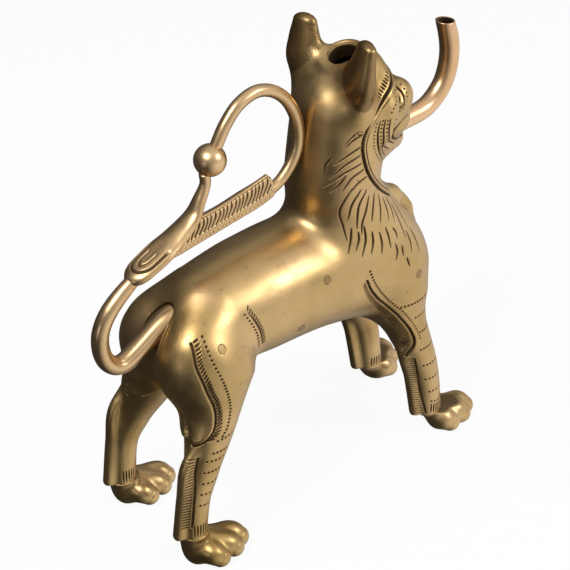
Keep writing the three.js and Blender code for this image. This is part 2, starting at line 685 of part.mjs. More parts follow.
// Paws: a heel, an instep and toes that fan out, flat underneath, turned about the ankle
function paw(name, [ankleX, ankleY, ankleZ], ahead, length) {
  const [x, y] = [ankleX + ahead, ankleY + PAW_ASIDE];
  const heel = ellipsoid([x, y, 6], [10.5 - ahead / 2, PAW_WIDTH / 2 - 3.5, 9]);
  const instep = limb([
    [ankleX, ankleY, ankleZ + 4, 9.3],
    [x - 1, y - 1, ankleZ / 4 + 8.5, 8.4],
    [x + 8, y, 8, 8],
  ]);
  const toe = (n) => {
    const across = n / (TOES - 1) - 0.5;
    const toeY = y + across * (PAW_WIDTH - 2 * TOE_R + 1);
    const toeX = x + length - 15 - TOE_R - Math.abs(across) * 5 + across * 10;
    return limb([
      [x + 4, y + across * 9, 9.5, TOE_R - 1],
      [toeX, toeY, 9, TOE_R],
      [toeX + 4.5, toeY, 6, TOE_R - 0.6],
    ]);
  };
  const pad = blend(6, heel, instep);
  const toes = [...Array(TOES).keys()].map(toe);
  const straight = (px, py, pz) => Math.min(pad(px, py, pz), ...toes.map((t) => t(px, py, pz)));
  const low = [ankleX - length, ankleY - length - 8, -PAW_CELL * 2];
  const high = [ankleX + length + 12, ankleY + length, ankleZ + 10];
  const body = skin(turned(straight, [ankleX, ankleY], -PAW_TURN[name]), low, high, PAW_CELL);
  return below(above(body, 0), ankleZ - SEAT / 2);
}

// The tenon under the leg stands a little ahead of the ankle, over the thick of the paw
function ankleTenon([x, y, z], turn, fit) {
  const [ahead, aside] = [3 * Math.cos(turn * (Math.PI / 180)), -3 * Math.sin(turn * (Math.PI / 180))];
  return cylinder(ANKLE_TENON_D + 2 * fit, z - ANKLE_TENON_LENGTH - fit, z + 3, [x + ahead, y + aside, 0]);
}

function leg(form, seat, ankle, turn, x0, x1) {
  const y = ankle[1];
  const body = skin(
    form,
    [x0, Math.min(y * 0.02, y * 2), ankle[2] - 3 * LEG_CELL],
    [x1, Math.max(y * 0.02, y * 2), LEG_SEAM_Z + 3 * LEG_CELL],
    LEG_CELL,
  );
  return below(above(body, ankle[2] + SEAT / 2), LEG_SEAM_Z - SEAT / 2)
    .add(legTenon(seat, 0))
    .add(ankleTenon(ankle, turn, 0));
}

// The fin that stands on the handle bar, cut to the bar's own curve
function fin() {
  const length = napeX - 20 - (tailFoot[0] + 34);
  const rise = NECK_SEAM_Z + 12 - tailFoot[1] - 7.6;
  const foot = (t) => [tailFoot[0] + 34 + t * length, tailFoot[1] + 7.6 + t * rise];
  const top = [0.9, 0.75, 0.5, 0.25, 0.08].map((t) => [foot(t)[0], foot(t)[1] + COMB_FIN_HEIGHT - BAR_D / 2]);
  const outline = [foot(0), foot(0.5), foot(1), [foot(1)[0] + 1.4, foot(1)[1] + 5], ...top];
  return sideCut(outline, COMB_FIN_THICKNESS).subtract(handle(SEAT)).subtract(tuft(SEAT));
}

// The handle ends in the pin, and the ball and the tuft are bored for it
function ballPiece() {
  const sphere = new THREE.SphereGeometry(BALL_D / 2, 14, 10).translate(ball[0], 0, ball[1]);
  return solidFrom(sphere).subtract(ballPin(SEAT)).subtract(handle(SEAT)).subtract(tuft(SEAT));
}
const handlePiece = () => handle(0).add(ballPin(0)).subtract(tail(SEAT));
const tuftPiece = () => tuft(0).subtract(ballPin(SEAT)).subtract(handle(SEAT)).subtract(tail(SEAT));

// A plug across the wall of one flank, flush with the skin and the hollow
function plugPlace(x, z, side, fit) {
  const r = PLUG_D / 2 + fit;
  return solidFrom(new THREE.CylinderGeometry(r, r, BARREL_R, 10).translate(x, side * BARREL_R, z));
}

// The shells of the body, the neck and the face
const earSeats = bothSides((side) => grown(ear(side), SEAT));
const earBosses = bothSides((side) => grown(ear(side), WALL));
const bodyHollow = bodyCavity.subtract(tail(WALL)).subtract(handle(WALL));
const headBosses = [handle(WALL), fillerBoss, ...earBosses];
const headHollow = headBosses.reduce((space, boss) => space.subtract(boss), headCavity);
const bodyFromSeam = above(skin(lion, bodyLow, bodyTop, BODY_CELL), LEG_SEAM_Z + SEAT / 2);
const bodySkin = below(bodyFromSeam, NECK_SEAM_Z - SEAT / 2);

function bodyShell() {
  const collar = neckEllipse(SPIGOT_LEDGE, NECK_SEAM_Z - SPIGOT_LENGTH - SEAT, NECK_SEAM_Z + 1);
  const sockets = [-1, 1].flatMap((side) => [legTenon(hindSeat(side), SEAT), legTenon(foreSeat(side), SEAT)]);
  const pinHoles = [-1, 1].flatMap((side) => PLUG_PLACES.map(([, x, z]) => plugPlace(x, z, side, SEAT)));
  const cuts = [bodyHollow, collar, tail(SEAT), ...sockets, ...pinHoles];
  return cuts.reduce((shell, cut) => shell.subtract(cut), bodySkin);
}

function neckShell() {
  const low = [NECK_X - 2 * NECK_R, -2 * NECK_R, NECK_SEAM_Z - 2 * HEAD_CELL];
  const outer = above(skin(lion, low, bodyHigh, HEAD_CELL), NECK_SEAM_Z + SEAT / 2);
  const outside = SPIGOT_LEDGE + SEAT;
  const spigot = neckEllipse(outside, NECK_SEAM_Z - SPIGOT_LENGTH, NECK_SEAM_Z + 5)
    .subtract(neckEllipse(outside + SPIGOT_WALL, NECK_SEAM_Z - SPIGOT_LENGTH - 1, NECK_SEAM_Z + 6));
  const shell = outer.subtract(headHollow).add(spigot).subtract(facePrism(SEAT));
  return [handle(SEAT), fillerSeat, ...earSeats].reduce((rest, cut) => rest.subtract(cut), shell);
}

function faceMask() {
  const low = [RUFF_X - 34, -2 * NECK_R, NECK_SEAM_Z - 2 * FACE_CELL];
  const front = skin(lion, low, [MUZZLE_X + 40, 2 * NECK_R, crownZ], FACE_CELL).intersect(facePrism(0));
  const cuts = [headCavity.subtract(fillerBoss), mouth(), fillerSeat, ...earSeats];
  return cuts.reduce((mask, cut) => mask.subtract(cut), front);
}

// The scene: the figure in groups, each piece at its own reference point
const figure = new THREE.Group();
const brass = { color: 0x9c7f45, roughness: 0.35, metalness: 0.9 };

function add(group, name, piece, place) {
  const geometry = geometryOf(piece).translate(-place[0], -place[1], -place[2]);
  geometry.computeVertexNormals();
  const part = new THREE.Mesh(geometry, new THREE.MeshStandardMaterial(brass));
  part.name = name;
  part.position.set(...place);
  group.add(part);
}

const headGroup = new THREE.Group();
const tailGroup = new THREE.Group();
const legGroup = new THREE.Group();
figure.add(headGroup, tailGroup, legGroup);

add(figure, "body_shell", bodyShell(), [0, 0, 0]);
add(headGroup, "neck_shell", neckShell(), [NECK_X, 0, NECK_SEAM_Z]);
add(headGroup, "face_mask", faceMask(), [MUZZLE_X, 0, MUZZLE_Z]);
add(headGroup, "filler_ring", fillerRing(), fillerPlace);
add(headGroup, "spout_tube", tube(SPOUT_OD, SPOUT_BORE, spoutPath, 12), [SPOUT_ROOT_X, 0, SPOUT_Z]);
add(tailGroup, "tail_curl", tail(0), [tailRoot[0], 0, tailRoot[1]]);
add(tailGroup, "handle_loop", handlePiece(), [tailFoot[0], 0, tailFoot[1]]);
add(tailGroup, "handle_comb", fin(), [tailFoot[0], 0, tailFoot[1]]);
add(tailGroup, "tail_ball", ballPiece(), [ball[0], 0, ball[1]]);
add(tailGroup, "tail_tuft", tuftPiece(), [ball[0], 0, ball[1]]);
for (const [name, side] of SIDES) {
  const [hindFoot, foreFoot] = [hindAnkle(side), foreAnkle(side)];
  const [hindTurn, foreTurn] = [PAW_TURN[`rear_${name}`], PAW_TURN[`front_${name}`]];
  const hindForm = blend(4, lion, hindComb(side));
  const foreForm = blend(4, lion, foreComb(side));
  const hind = leg(hindForm, hindSeat(side), hindFoot, hindTurn, RUMP_X - 70, RUMP_X + 40);
  const fore = leg(foreForm, foreSeat(side), foreFoot, foreTurn, CHEST_X - 50, CHEST_X + 60);
  const hindPaw = paw(`rear_${name}`, hindFoot, HIND_PAW_AHEAD, HIND_PAW_LENGTH);
  const forePaw = paw(`front_${name}`, foreFoot, FORE_PAW_AHEAD, FORE_PAW_LENGTH);
  add(headGroup, `ear_${name}`, ear(side).subtract(fillerSeat), [EAR_X, (side * EAR_SPREAD) / 2, earTopZ]);
  add(legGroup, `leg_rear_${name}`, hind, hindFoot);
  add(legGroup, `leg_front_${name}`, fore, foreFoot);
  add(legGroup, `paw_rear_${name}`, hindPaw.subtract(ankleTenon(hindFoot, hindTurn, SEAT)), hindFoot);
  add(legGroup, `paw_front_${name}`, forePaw.subtract(ankleTenon(foreFoot, foreTurn, SEAT)), foreFoot);
  for (const [where, x, z] of PLUG_PLACES) {
    const plug = plugPlace(x, z, side, 0).intersect(bodySkin).subtract(bodyHollow);
    add(figure, `plug_${where}_${name}`, plug, [x, side * BARREL_R, z]);
  }
}

// The origin is on the ground below the middle of the whole
const box = new THREE.Box3().setFromObject(figure);
const middle = box.getCenter(new THREE.Vector3());
figure.position.set(-middle.x, -middle.y, -box.min.z);
const root = new THREE.Group().add(figure);
export default root;
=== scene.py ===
"""The finest look of the cast brass lion aquamanile: a hollow, chased lion with handle, filler and spout.

Lengths are in millimetres until a mesh is made. +X is ahead, +Y is the lion's left, +Z is up.
"""

import math

import bmesh
import bpy
import numpy as np
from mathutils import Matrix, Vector
from mathutils.kdtree import KDTree


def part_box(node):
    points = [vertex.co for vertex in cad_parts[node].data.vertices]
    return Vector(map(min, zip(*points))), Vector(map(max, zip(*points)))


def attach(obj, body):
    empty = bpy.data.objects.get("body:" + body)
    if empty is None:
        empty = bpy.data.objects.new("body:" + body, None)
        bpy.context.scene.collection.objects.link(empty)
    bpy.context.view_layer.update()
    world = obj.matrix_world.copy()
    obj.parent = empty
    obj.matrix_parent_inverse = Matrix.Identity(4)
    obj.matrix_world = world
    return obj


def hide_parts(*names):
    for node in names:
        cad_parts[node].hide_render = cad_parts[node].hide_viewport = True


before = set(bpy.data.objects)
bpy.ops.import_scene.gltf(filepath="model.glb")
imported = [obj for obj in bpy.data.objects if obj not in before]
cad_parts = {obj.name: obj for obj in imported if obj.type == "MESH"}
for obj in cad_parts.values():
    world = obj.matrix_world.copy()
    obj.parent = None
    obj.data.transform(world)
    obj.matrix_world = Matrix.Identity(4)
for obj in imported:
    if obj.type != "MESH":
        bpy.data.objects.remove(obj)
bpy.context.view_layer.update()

# Sizes of the lion, the same as in the model
WALL = 3.2
BARREL_R, BARREL_Z = 34, 132.5
RUMP_X, RUMP_R = 45, 30
HAUNCH_X, HAUNCH_R, HAUNCH_SPREAD = 27, 25, 30
CHEST_X, CHEST_R, CHEST_DROP = 168, 32.5, 13
SHOULDER_R, SHOULDER_SPREAD = 22, 28
NECK_X, NECK_R, NECK_BREADTH, NECK_SEAM_Z = 136, 25.8, 1.08, 182
SKULL_X, SKULL_Z, SKULL_R = 140, 228, 25
RUFF_X, RUFF_Z, RUFF_R, RUFF_SPREAD = 159, 247, 6.5, 42
MUZZLE_X, MUZZLE_Z, MUZZLE_R = 172, 213, 16
BROW_Z, CHIN_Z, CHIN_R = 235, 195, 10
EYE_D, EYE_SPREAD, NOSE_R = 12, 24, 5
LEG_SEAM_Z, HOCK_Z = 84, 60
HIND_ANKLE_X, HIND_ANKLE_Z, HIND_ANKLE_R, HIND_TRACK = 6, 22, 8, 62
FORE_ANKLE_X, FORE_ANKLE_Z, FORE_ANKLE_R, FORE_TRACK = 191, 15, 9, 59
HIND_STRIDE = (1.5, 5.5, -4)
FORE_LEAD = 6
COMB_WIDTH, COMB_RISE, COMB_TOP_Z = 7, 3, 76
HIND_COMB_LEAN, FORE_COMB_LEAN = 7, -12
HIND_PAW_LENGTH, FORE_PAW_LENGTH, PAW_WIDTH = 37, 32, 29
HIND_PAW_AHEAD, FORE_PAW_AHEAD, PAW_ASIDE = 3, 7.5, 4.9
TOES, TOE_R = 3, 6.6
PAW_TURN = {"rear_right": 40, "rear_left": 36, "front_right": 40, "front_left": 5}
EAR_LENGTH, EAR_WIDTH, EAR_THICKNESS, EAR_SPREAD, EAR_X = 46, 25, 15, 45, 134
EAR_DEPTH, EAR_LEAN, EAR_TURN, EAR_HOLLOW = 24, 3, 14, 4.5
FILLER_X, FILLER_Z, FILLER_OD, FILLER_BORE = 144, 253.5, 26, 16
FILLER_HEIGHT, FILLER_TILT = 9, 20
SPOUT_OD, SPOUT_BORE, SPOUT_ROOT_X, SPOUT_Z = 11.5, 9.3, 174, 202
SPOUT_REACH, SPOUT_RISE, SPOUT_SLANT = 51, 52, 0.36
TAIL_ROOT_DEPTH, BAR_D, LOOP_D = 9, 6.4, 7
FIN_HEIGHT, FIN_START, FIN_TUCK = 13, 34, 15
BALL_D, BALL_SEAT = 17.5, 1.2
TUFT_NECK_D = 6
PLUG_D, PLUG_RISE = 4.4, 0.04
PLUG_PLACES = {
    "haunch": (HAUNCH_X + 1, BARREL_Z + 3.5),
    "belly": (RUMP_X + 41, BARREL_Z - 11),
    "flank": (RUMP_X + 59.5, BARREL_Z + 13),
    "chest": (CHEST_X + 3, BARREL_Z - CHEST_DROP + 4.5),
}
SIDES = {"right": -1, "left": 1}
MIDWAY_X = 100

# Grids of the skins, how fine the chased lines are cut, and how far off a form is still measured
LION_CELL = 1.2
HOLLOW_CELL = 2.5
SMALL_CELL = 0.7
FINE_EDGE = 0.4
STROKE_STEP = 0.25
BLOCK = 2.0
REACH = 25
FAR = 99.0

# The camera, found from the photograph
AZIMUTH, ELEVATION = -41.15, 33.1
DISTANCE = 954.8
TARGET = (101.35, 0, 128.1)
LENS, SENSOR = 107.4, 36

# The frame has its own origin: the ball of the handle tells how far it is moved
MIDDLE_BALL = (50.2, 0, 226.6)
ball_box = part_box("tail_ball")
SHIFT = [(ball_box[0][m] + ball_box[1][m]) * 500 - MIDDLE_BALL[m] for m in range(3)]
SHIFT[2] = 0


# Curves and fields: a field is the distance to a form, negative inside it
def cubic(terms, w):
    return terms[:, 0] + w * (terms[:, 1] + w * (terms[:, 2] + w * terms[:, 3]))


def curve(points, count):
    terms = span_terms(np.asarray(points, float))
    t = np.linspace(0, len(terms), count + 1)
    n = np.minimum(t.astype(int), len(terms) - 1)
    return cubic(terms[n], (t - n)[:, None])


def span_terms(knots):
    """Each span's cubic, as the factors of 1, w, w squared and w cubed."""
    path = np.vstack([2 * knots[0] - knots[1], knots, 2 * knots[-1] - knots[-2]])
    found = []
    for a, b, c, d in zip(path[:-3], path[1:-2], path[2:-1], path[3:]):
        before, along, after = (np.dot(v, v) ** 0.25 for v in (b - a, c - b, d - c))
        along = along if along > 1e-4 else 1.0
        before = before if before > 1e-4 else along
        after = after if after > 1e-4 else along
        out = ((b - a) / before - (c - a) / (before + along) + (c - b) / along) * along
        back = ((c - b) / along - (d - b) / (along + after) + (d - c) / after) * along
        found.append((b, out, 3 * (c - b) - 2 * out - back, 2 * (b - c) + out + back))
    return np.array(found)


def limb(points, breadth=1.0, steps=4):
    """The distance to a smooth spine less the girth there, far places left at REACH."""
    knots = np.array(points, float)
    knots[:, 1] /= breadth
    place, girth = span_terms(knots[:, :3]), span_terms(knots[:, 3:])[:, :, 0]
    spans = len(place)
    marks = np.linspace(0, spans, spans * steps + 1)
    stops = curve(knots[:, :3], spans * steps)
    margin = knots[:, 3].max() * 1.1 + REACH
    low, high = knots[:, :3].min(0) - margin, knots[:, :3].max(0) + margin

    def near(at):
        least, t = np.full(len(at), 1e9), np.zeros(len(at))
        for n, (a, b) in enumerate(zip(stops[:-1], stops[1:])):
            w = np.clip(((at - a) @ (b - a)) / (b - a).dot(b - a), 0, 1)
            away = ((at - a - w[:, None] * (b - a)) ** 2).sum(1)
            t = np.where(away < least, marks[n] + w / steps, t)
            least = np.minimum(least, away)
        for _ in range(2):
            n = np.clip(t.astype(int), 0, spans - 1)
            w, terms = (t - n)[:, None], place[n]
            from_at = cubic(terms, w) - at
            speed = terms[:, 1] + w * (2 * terms[:, 2] + 3 * w * terms[:, 3])
            bend = 2 * terms[:, 2] + 6 * w * terms[:, 3]
            rate = (speed ** 2).sum(1)
            rate = np.maximum(rate + (from_at * bend).sum(1), 0.3 * rate)
            t = np.clip(t - np.clip((from_at * speed).sum(1) / rate, -0.3, 0.3), 0, spans)
        n = np.clip(t.astype(int), 0, spans - 1)
        w = t - n
        return np.linalg.norm(at - cubic(place[n], w[:, None]), axis=1) - cubic(girth[n], w)

    def field(x, y, z):
        at = np.stack([np.ravel(x), np.ravel(y) / breadth, np.ravel(z)], 1)
        found = np.full(len(at), float(REACH))
        close = ((at > low) & (at < high)).all(1)
        if close.any():
            found[close] = near(at[close])
        return found.reshape(np.shape(x))

    return field


def ellipsoid(centre, radii):
    def field(x, y, z):
        u = [(v - c) / r for v, c, r in zip((x, y, z), centre, radii)]
        size = np.sqrt(sum(v ** 2 for v in u))
        slant = np.sqrt(sum((v / r) ** 2 for v, r in zip(u, radii)))
        return size * (size - 1) / np.maximum(slant, 1e-9)

    return field


def blend(soft, *fields):
    def field(x, y, z):
        found = fields[0](x, y, z)
        for other in fields[1:]:
            value = other(x, y, z)
            h = np.maximum(soft - np.abs(found - value), 0) / soft
            found = np.minimum(found, value) - h * h * soft / 4
        return found

    return field


def carve(form, tool):
    return lambda x, y, z: np.maximum(form(x, y, z), -tool(x, y, z))


def turned(form, centre, degrees):
    cos, sin = math.cos(math.radians(degrees)), math.sin(math.radians(degrees))

    def field(x, y, z):
        dx, dy = x - centre[0], y - centre[1]
        return form(centre[0] + dx * cos + dy * sin, centre[1] + dy * cos - dx * sin, z)

    return field


def mirrored(points):
    """A spine from the right side up to its middle point, carried on to the left side."""
    return points + [(x, -y, z, r) for x, y, z, r in points[-2::-1]]


def both(make):
    return [make(side) for side in SIDES.values()]


# The lion's masses
CHEST_Z = BARREL_Z - CHEST_DROP
torso = limb([
    (RUMP_X, 0, BARREL_Z, RUMP_R),
    (RUMP_X + 30, 0, BARREL_Z + 1, BARREL_R - 1),
    (RUMP_X + 70, 0, BARREL_Z, BARREL_R),
    (CHEST_X, 0, CHEST_Z, CHEST_R),
])
neck = limb([
    (CHEST_X - 13, 0, BARREL_Z + 8, CHEST_R - 2),
    (NECK_X + 6, 0, NECK_SEAM_Z - 18, NECK_R + 2),
    (NECK_X, 0, NECK_SEAM_Z, NECK_R),
    (NECK_X, 0, NECK_SEAM_Z + 6, NECK_R),
    (SKULL_X, 0, SKULL_Z, SKULL_R),
], NECK_BREADTH)
ruff = limb(mirrored([
    (RUFF_X - 8, -RUFF_SPREAD / 2 - 2, RUFF_Z - 30, RUFF_R - 1),
    (RUFF_X - 3, -RUFF_SPREAD / 2, RUFF_Z - 15, RUFF_R),
    (RUFF_X, 0, RUFF_Z + 3, RUFF_R),
]))
muzzle = limb([
    (SKULL_X + 12, 0, BROW_Z - 6, SKULL_R - 6),
    (MUZZLE_X - 6, 0, MUZZLE_Z + 6, MUZZLE_R + 2),
    (MUZZLE_X, 0, MUZZLE_Z, MUZZLE_R),
], NECK_BREADTH)
chin = limb([
    (NECK_X + 14, 0, CHIN_Z + 1, CHIN_R + 8),
    (MUZZLE_X - 1, 0, CHIN_Z, CHIN_R),
    (MUZZLE_X + 8, 0, CHIN_Z, CHIN_R - 2.5),
])
nose = limb([
    (MUZZLE_X + 2, 0, BROW_Z - 5, NOSE_R),
    (MUZZLE_X + 12, 0, MUZZLE_Z + 9, NOSE_R),
    (MUZZLE_X + 13, 0, MUZZLE_Z, NOSE_R + 1),
])
brow = limb(mirrored([
    (MUZZLE_X - 5, -20, BROW_Z - 7, 2.6),
    (MUZZLE_X, -13, BROW_Z - 2, 3),
    (MUZZLE_X + 2, 0, BROW_Z - 1, 3.2),
]))


def eye(side):
    centre = (MUZZLE_X, side * (EYE_SPREAD / 2 + 1), BROW_Z - 8)
    return ellipsoid(centre, (9, EYE_D / 2 + 2, EYE_D / 2 + 5))


def haunch(side):
    centre = (HAUNCH_X, side * HAUNCH_SPREAD / 2, BARREL_Z - 12)
    return ellipsoid(centre, (HAUNCH_R, HAUNCH_R - 3, HAUNCH_R + 3))


def shoulder(side):
    centre = (CHEST_X - 1, side * SHOULDER_SPREAD / 2, CHEST_Z)
    return ellipsoid(centre, (SHOULDER_R, SHOULDER_R, SHOULDER_R + 4))


def hind_ankle(side):
    dx, dy, dz = HIND_STRIDE if side > 0 else (0, 0, 0)
    return HIND_ANKLE_X + dx, side * HIND_TRACK / 2 + dy, HIND_ANKLE_Z + dz


def fore_ankle(side):
    return FORE_ANKLE_X + (FORE_LEAD if side > 0 else 0), side * FORE_TRACK / 2, FORE_ANKLE_Z


def hind_leg(side):
    track = side * HIND_TRACK / 2
    x, y, z = hind_ankle(side)
    return limb([
        (HAUNCH_X + 5, track - side * 12, LEG_SEAM_Z + 28, 23),
        (HAUNCH_X - 1, track - side * 6, LEG_SEAM_Z + 6, 15.6),
        (x + 9.5, (track + y) / 2 - side, HOCK_Z + 4, 10.2),
        (x + 3, y, HOCK_Z - 14, 8.8),
        (x, y, z - 4, HIND_ANKLE_R),
    ])


def fore_leg(side):
    x, y, z = fore_ankle(side)
    return limb([
        (CHEST_X + 1, y - side * 9, LEG_SEAM_Z + 16, 18),
        (CHEST_X + 6, y - side * 4, LEG_SEAM_Z - 3, 12.6),
        (x - 9, y, HOCK_Z - 3, 10.2),
        (x - 4, y, HOCK_Z - 20, 9.5),
        (x, y, z, FORE_ANKLE_R),
    ])


def comb(ankle, r, lean):
    """The raised strip down the back of a leg."""
    x, y, foot = ankle
    return limb([
        (x + lean * 1.3 - r + 9, y, COMB_TOP_Z + 6, COMB_RISE),
        (x + lean - r - 1, y, COMB_TOP_Z - 8, COMB_WIDTH / 2),
        (x + lean / 2 - r - 1, y, (COMB_TOP_Z + foot) / 2, COMB_WIDTH / 2),
        (x - r - 1, y, foot + 2, COMB_WIDTH / 2),
    ])


def throat_locks(side):
    """The tips of the mane that stand up on the front of the chest."""
    rows = (
        [(161, 13, 173, 1.5), (170, 11.5, 168.5, 3.4), (176, 10.5, 163, 3.8), (181, 9.5, 157, 1.2)],
        [(173, 7, 166, 1.5), (182, 6.5, 157.5, 4), (186, 8.5, 151, 4.2), (188.5, 12, 144, 1.2)],
        [(176, 0, 164, 1.5), (184, 0.5, 157, 3.8), (188, 2, 151, 3.6), (191, 4, 144, 1.2)],
    )
    return blend(1, *[limb([(x, side * y, z, r) for x, y, z, r in row]) for row in rows])


def ear(side):
    top = SKULL_Z + SKULL_R - EAR_DEPTH + EAR_LENGTH
    y, z = side * EAR_SPREAD / 2, top - EAR_LENGTH / 2
    egg = limb([
        (EAR_X + EAR_LEAN, side * 0.5, top - 4.6, 4.4),
        (EAR_X + 1.5, 0, z + 9, EAR_THICKNESS / 2 - 1.6),
        (EAR_X, -side * 1, z - 3, EAR_THICKNESS / 2 - 0.4),
        (EAR_X, -side * 5, top - EAR_LENGTH + 4, EAR_THICKNESS / 2 - 1.5),
    ])

    def wide(px, py, pz):
        return egg(px, (py - y) * EAR_THICKNESS / EAR_WIDTH, pz)

    scoop = ellipsoid((EAR_X + EAR_THICKNESS / 2 + 1, y, z + 10), (EAR_HOLLOW + 1, EAR_WIDTH / 2 - 3, 14))
    return turned(carve(wide, scoop), (EAR_X, y), side * EAR_TURN)


def round_axis(x, y, z):
    """Distance from the filler's axis, and the height along it."""
    tilt = math.radians(FILLER_TILT)
    dx, dz = x - FILLER_X, z - FILLER_Z
    across = dx * math.cos(tilt) + dz * math.sin(tilt)
    return np.sqrt(across ** 2 + y ** 2), dz * math.cos(tilt) - dx * math.sin(tilt)


def collar(x, y, z):
    """The swelling of the crown that carries the filler."""
    away, height = round_axis(x, y, z)
    beyond = np.stack([away - FILLER_OD / 2 + 1.5, np.abs(height + 6) - FILLER_HEIGHT / 2 - 3.6])
    return np.linalg.norm(np.maximum(beyond, 0), axis=0) + np.minimum(beyond.max(0), 0) - 1.5


trunk = blend(9, blend(14, torso, neck), *both(haunch))
head = blend(4, blend(8, muzzle, chin), ruff, nose, brow, *both(eye))
lion = blend(10, blend(7, trunk, head), *both(shoulder), *both(hind_leg), *both(fore_leg))
combs = [comb(hind_ankle(s), HIND_ANKLE_R, HIND_COMB_LEAN) for s in SIDES.values()]
combs += [comb(fore_ankle(s), FORE_ANKLE_R, FORE_COMB_LEAN) for s in SIDES.values()]
coated = blend(3, lion, *combs, *both(throat_locks))
ears = both(ear)
whole = blend(9, blend(5, coated, collar), *ears)


# Skins: one vertex in each cell that the surface crosses, moved onto the surface
def slope(form, points, step=0.05):
    x, y, z = points.T
    value = form(x, y, z)
    rise = np.stack([form(x + step, y, z), form(x, y + step, z), form(x, y, z + step)], 1)
    return value, (rise - value[:, None]) / step


def settled(form, points, rounds=2, level=False):
    for _ in range(rounds):
        value, rise = slope(form, points)
        if level:
            rise[:, 2] = 0
        size = np.maximum((rise ** 2).sum(1), 0.05)
        points = points - np.clip(value / size, -1.5, 1.5)[:, None] * rise
    return points


def sampled(form, low, counts, cell):
    """The form on a grid: every fourth place first, then each place near the surface."""
    step = 4
    axes = [low[m] + cell * np.arange(counts[m]) for m in range(3)]
    rough = form(*np.meshgrid(*[a[::step] for a in axes], indexing="ij"))
    nearest = [np.minimum((np.arange(n) + 2) // step, rough.shape[m] - 1) for m, n in enumerate(counts)]
    values = rough[np.ix_(*nearest)]
    near = np.nonzero(np.abs(values) < 5.2 * cell)
    values[near] = form(*[axes[m][near[m]] for m in range(3)])
    return values


def corner(n):
    return n & 1, (n >> 1) & 1, n >> 2


def skin(form, low, high, cell, levels=()):
    """The form's surface in triangles. Each level is a height and the places where a row is laid level."""
    low = np.asarray(low, float)
    counts = [int(math.ceil((high[m] - low[m]) / cell)) + 1 for m in range(3)]
    values = sampled(form, low, counts, cell)
    inside = values < 0
    full = tuple(n - 1 for n in counts)
    filled = np.zeros(full, np.int8)
    for n in range(8):
        i, j, k = corner(n)
        filled += inside[i:i + full[0], j:j + full[1], k:k + full[2]]
    cells = np.argwhere((filled > 0) & (filled < 8))
    at = np.stack([values[tuple((cells + corner(n)).T)] for n in range(8)], 1)
    middle = low + cell * (cells + 0.5)
    points = settled(form, low + cell * (cells + crossing(at)))
    points = np.clip(points, middle - cell * 0.7, middle + cell * 0.7)
    for z, chosen in levels:
        flat = (np.abs(middle[:, 2] - z) < 0.01) & chosen(points)
        points[flat, 2] = z
        points[flat] = settled(form, points[flat], 2, level=True)
    number = np.full(full, -1, np.int32)
    number[tuple(cells.T)] = np.arange(len(cells))
    return points, np.concatenate([crossed_faces(inside, number, points, m) for m in range(3)])


def crossing(at):
    """The mean place where the surface crosses a cell's edges, from the values at its eight corners."""
    total = np.zeros((len(at), 3))
    crossings = np.zeros(len(at))
    for a in range(8):
        for m in range(3):
            b = a | (1 << m)
            if b == a:
                continue
            crossed = (at[:, a] < 0) != (at[:, b] < 0)
            t = at[:, a] / np.where(crossed, at[:, a] - at[:, b], 1)
            place = np.array(corner(a), float) + t[:, None] * np.eye(3)[m]
            total += np.where(crossed[:, None], place, 0)
            crossings += crossed
    return total / crossings[:, None]


def crossed_faces(inside, number, points, m):
    """Two triangles round each grid edge along axis m that the surface crosses, split the shorter way."""
    edges = np.argwhere(inside != np.roll(inside, -1, m))
    u, v = np.eye(3, dtype=int)[(m + 1) % 3], np.eye(3, dtype=int)[(m + 2) % 3]
    within = (edges < np.array(inside.shape) - 1).all(1)
    within &= (edges > 0)[:, (m + 1) % 3] & (edges > 0)[:, (m + 2) % 3]
    edges = edges[within]
    a, b, c, d = [number[tuple((edges - step).T)] for step in (u + v, v, 0 * u, u)]
    outward = inside[tuple(edges.T)]
    b, d = np.where(outward, b, d), np.where(outward, d, b)
    split = ((points[a] - points[c]) ** 2).sum(1) < ((points[b] - points[d]) ** 2).sum(1)
    first = np.where(split[:, None], np.stack([a, b, c], 1), np.stack([a, b, d], 1))
    second = np.where(split[:, None], np.stack([a, c, d], 1), np.stack([b, c, d], 1))
    return np.concatenate([first, second])


def normals_of(points, faces):
    a, b, c = points[faces[:, 0]], points[faces[:, 1]], points[faces[:, 2]]
    across = np.cross(b - a, c - a)
    found = np.zeros_like(points)
    for m in range(3):
        for axis in range(3):
            found[:, axis] += np.bincount(faces[:, m], across[:, axis], len(points))
    return found / np.maximum(np.linalg.norm(found, axis=1), 1e-12)[:, None]


# Chasing: lines and dots are kept as samples on the surface, and the skin is made finer round them
def block_key(cells):
    return (cells[:, 0] * 4096 + cells[:, 1]) * 4096 + cells[:, 2]


class Chasing:
    def __init__(self):
        self.places, self.sizes = [], []

    def add(self, places, half_width, depth):
        whole_line = np.ones(len(places))
        known = np.isfinite(places).all(1)
        self.places.append(places[known])
        self.sizes.append(np.stack([half_width * whole_line, depth * whole_line], 1)[known])

    def close(self):
        points = np.concatenate(self.places)
        self.kinds = np.concatenate(self.sizes)
        self.tree = KDTree(len(points))
        for n, point in enumerate(points):
            self.tree.insert(point, n)
        self.tree.balance()
        around = np.array(list(np.ndindex(3, 3, 3))) - 1
        cells = np.floor(points / BLOCK).astype(int)[:, None] + around[None]
        self.blocks = np.unique(block_key(cells.reshape(-1, 3)))

    def nearest(self, points):
        """Distance to the nearest line or dot, with its half width and depth."""
        found = np.tile((FAR, 1.0, 0.0), (len(points), 1))
        near = np.isin(block_key(np.floor(points / BLOCK).astype(int)), self.blocks)
        for n in np.nonzero(near)[0]:
            _, index, distance = self.tree.find(points[n])
            found[n] = distance, *self.kinds[index]
        return found


